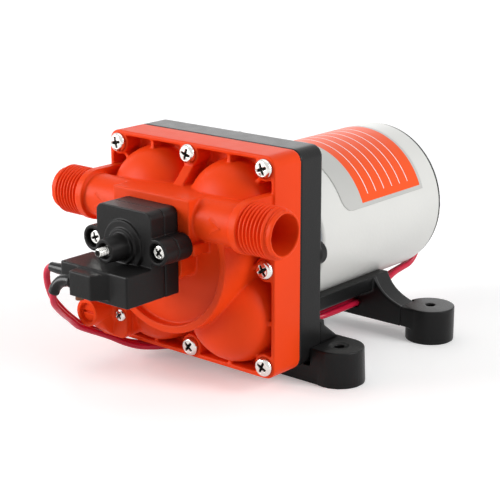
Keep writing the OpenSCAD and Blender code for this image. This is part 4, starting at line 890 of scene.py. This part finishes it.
# Inner pieces
# What the housings hide keeps its CAD shape, each in the material it is made of.
natural = moulded_finish("natural_moulding", (0.72, 0.69, 0.6), 0.45, 1500.0, 0.00005)
membrane = Finish("diaphragm_rubber", Base_Color=solid(0.02, 0.02, 0.02))
membrane.paint("Roughness", membrane.noise(500.0, 3.0) * 0.2 + 0.5)
bright = Finish("bright_steel", Metallic=1.0, Base_Color=solid(0.62, 0.63, 0.65))
bright.paint("Roughness", bright.noise(800.0, 3.0) * 0.15 + 0.2)
core = Finish("stacked_steel", Metallic=1.0)
sheet_t = 0.5 * mm
seams = (core.axes()[1] * (2 * math.pi / sheet_t)).wave() * 0.5 + 0.5
core.paint("Base Color", core.mixed(seams, solid(0.2, 0.2, 0.21), solid(0.42, 0.43, 0.45)))
core.paint("Roughness", core.noise(500.0) * 0.2 + 0.35)
enamel = Finish("copper_wire", Metallic=1.0)
wire_x, wire_z = enamel.axes()[::2]
strands = ((wire_x + wire_z) * (2 * math.pi / (0.9 * mm))).wave() * 0.5 + 0.5
enamel.paint("Base Color", enamel.mixed(strands, solid(0.4, 0.12, 0.04), solid(0.78, 0.33, 0.13)))
enamel.paint("Roughness", enamel.noise(700.0) * 0.2 + 0.25)
enamel.relief(strands, 0.0002)
brass = Finish("turned_brass", Metallic=1.0)
brass.paint("Base Color", brass.mixed(brass.noise(300.0), solid(0.52, 0.4, 0.2), solid(0.72, 0.56, 0.3)))
brass.paint("Roughness", brass.noise(900.0, 3.0) * 0.18 + 0.24)
ferrite = Finish("dark_ferrite", Base_Color=solid(0.05, 0.05, 0.055))
ferrite.paint("Roughness", ferrite.noise(900.0, 4.0) * 0.25 + 0.5)
ferrite.relief(ferrite.noise(2600.0, 3.0), 0.00008)
dark_screw = Finish("bronzed_screw", Metallic=1.0)
dark_screw.paint("Base Color", dark_screw.mixed(dark_screw.noise(700.0), solid(0.1, 0.045, 0.03),
                                                solid(0.2, 0.09, 0.05)))
dark_screw.paint("Roughness", dark_screw.noise(900.0) * 0.2 + 0.35)

by_slot = {
    "valve_plastic": natural, "black_rubber": membrane, "bearing_steel": bright, "cam_metal": bright,
    "spring_steel": bright, "screw_steel": nickel, "core_steel": core, "copper": enamel, "bronze": brass,
    "magnet_ferrite": ferrite, "carbon": ferrite, "black_plastic": black, "switch_plastic": charcoal,
    "orange_plastic": orange, "adjuster_plastic": orange, "white_paint": paint, "grey_paint": grey,
    "label_film": film, "foot_rubber": rubber, "lead_jacket": crimson, "sleeve_vinyl": vinyl,
}
for node, obj in frame["nodes"].items():
    obj.data.materials.clear()
    obj.data.materials.append(by_slot[slot_of[node]].material)
frame["nodes"]["microswitch_screw"].data.materials[0] = dark_screw.material

for screw in (big_screw, cap_screw, small_screw):
    bpy.data.objects.remove(screw)
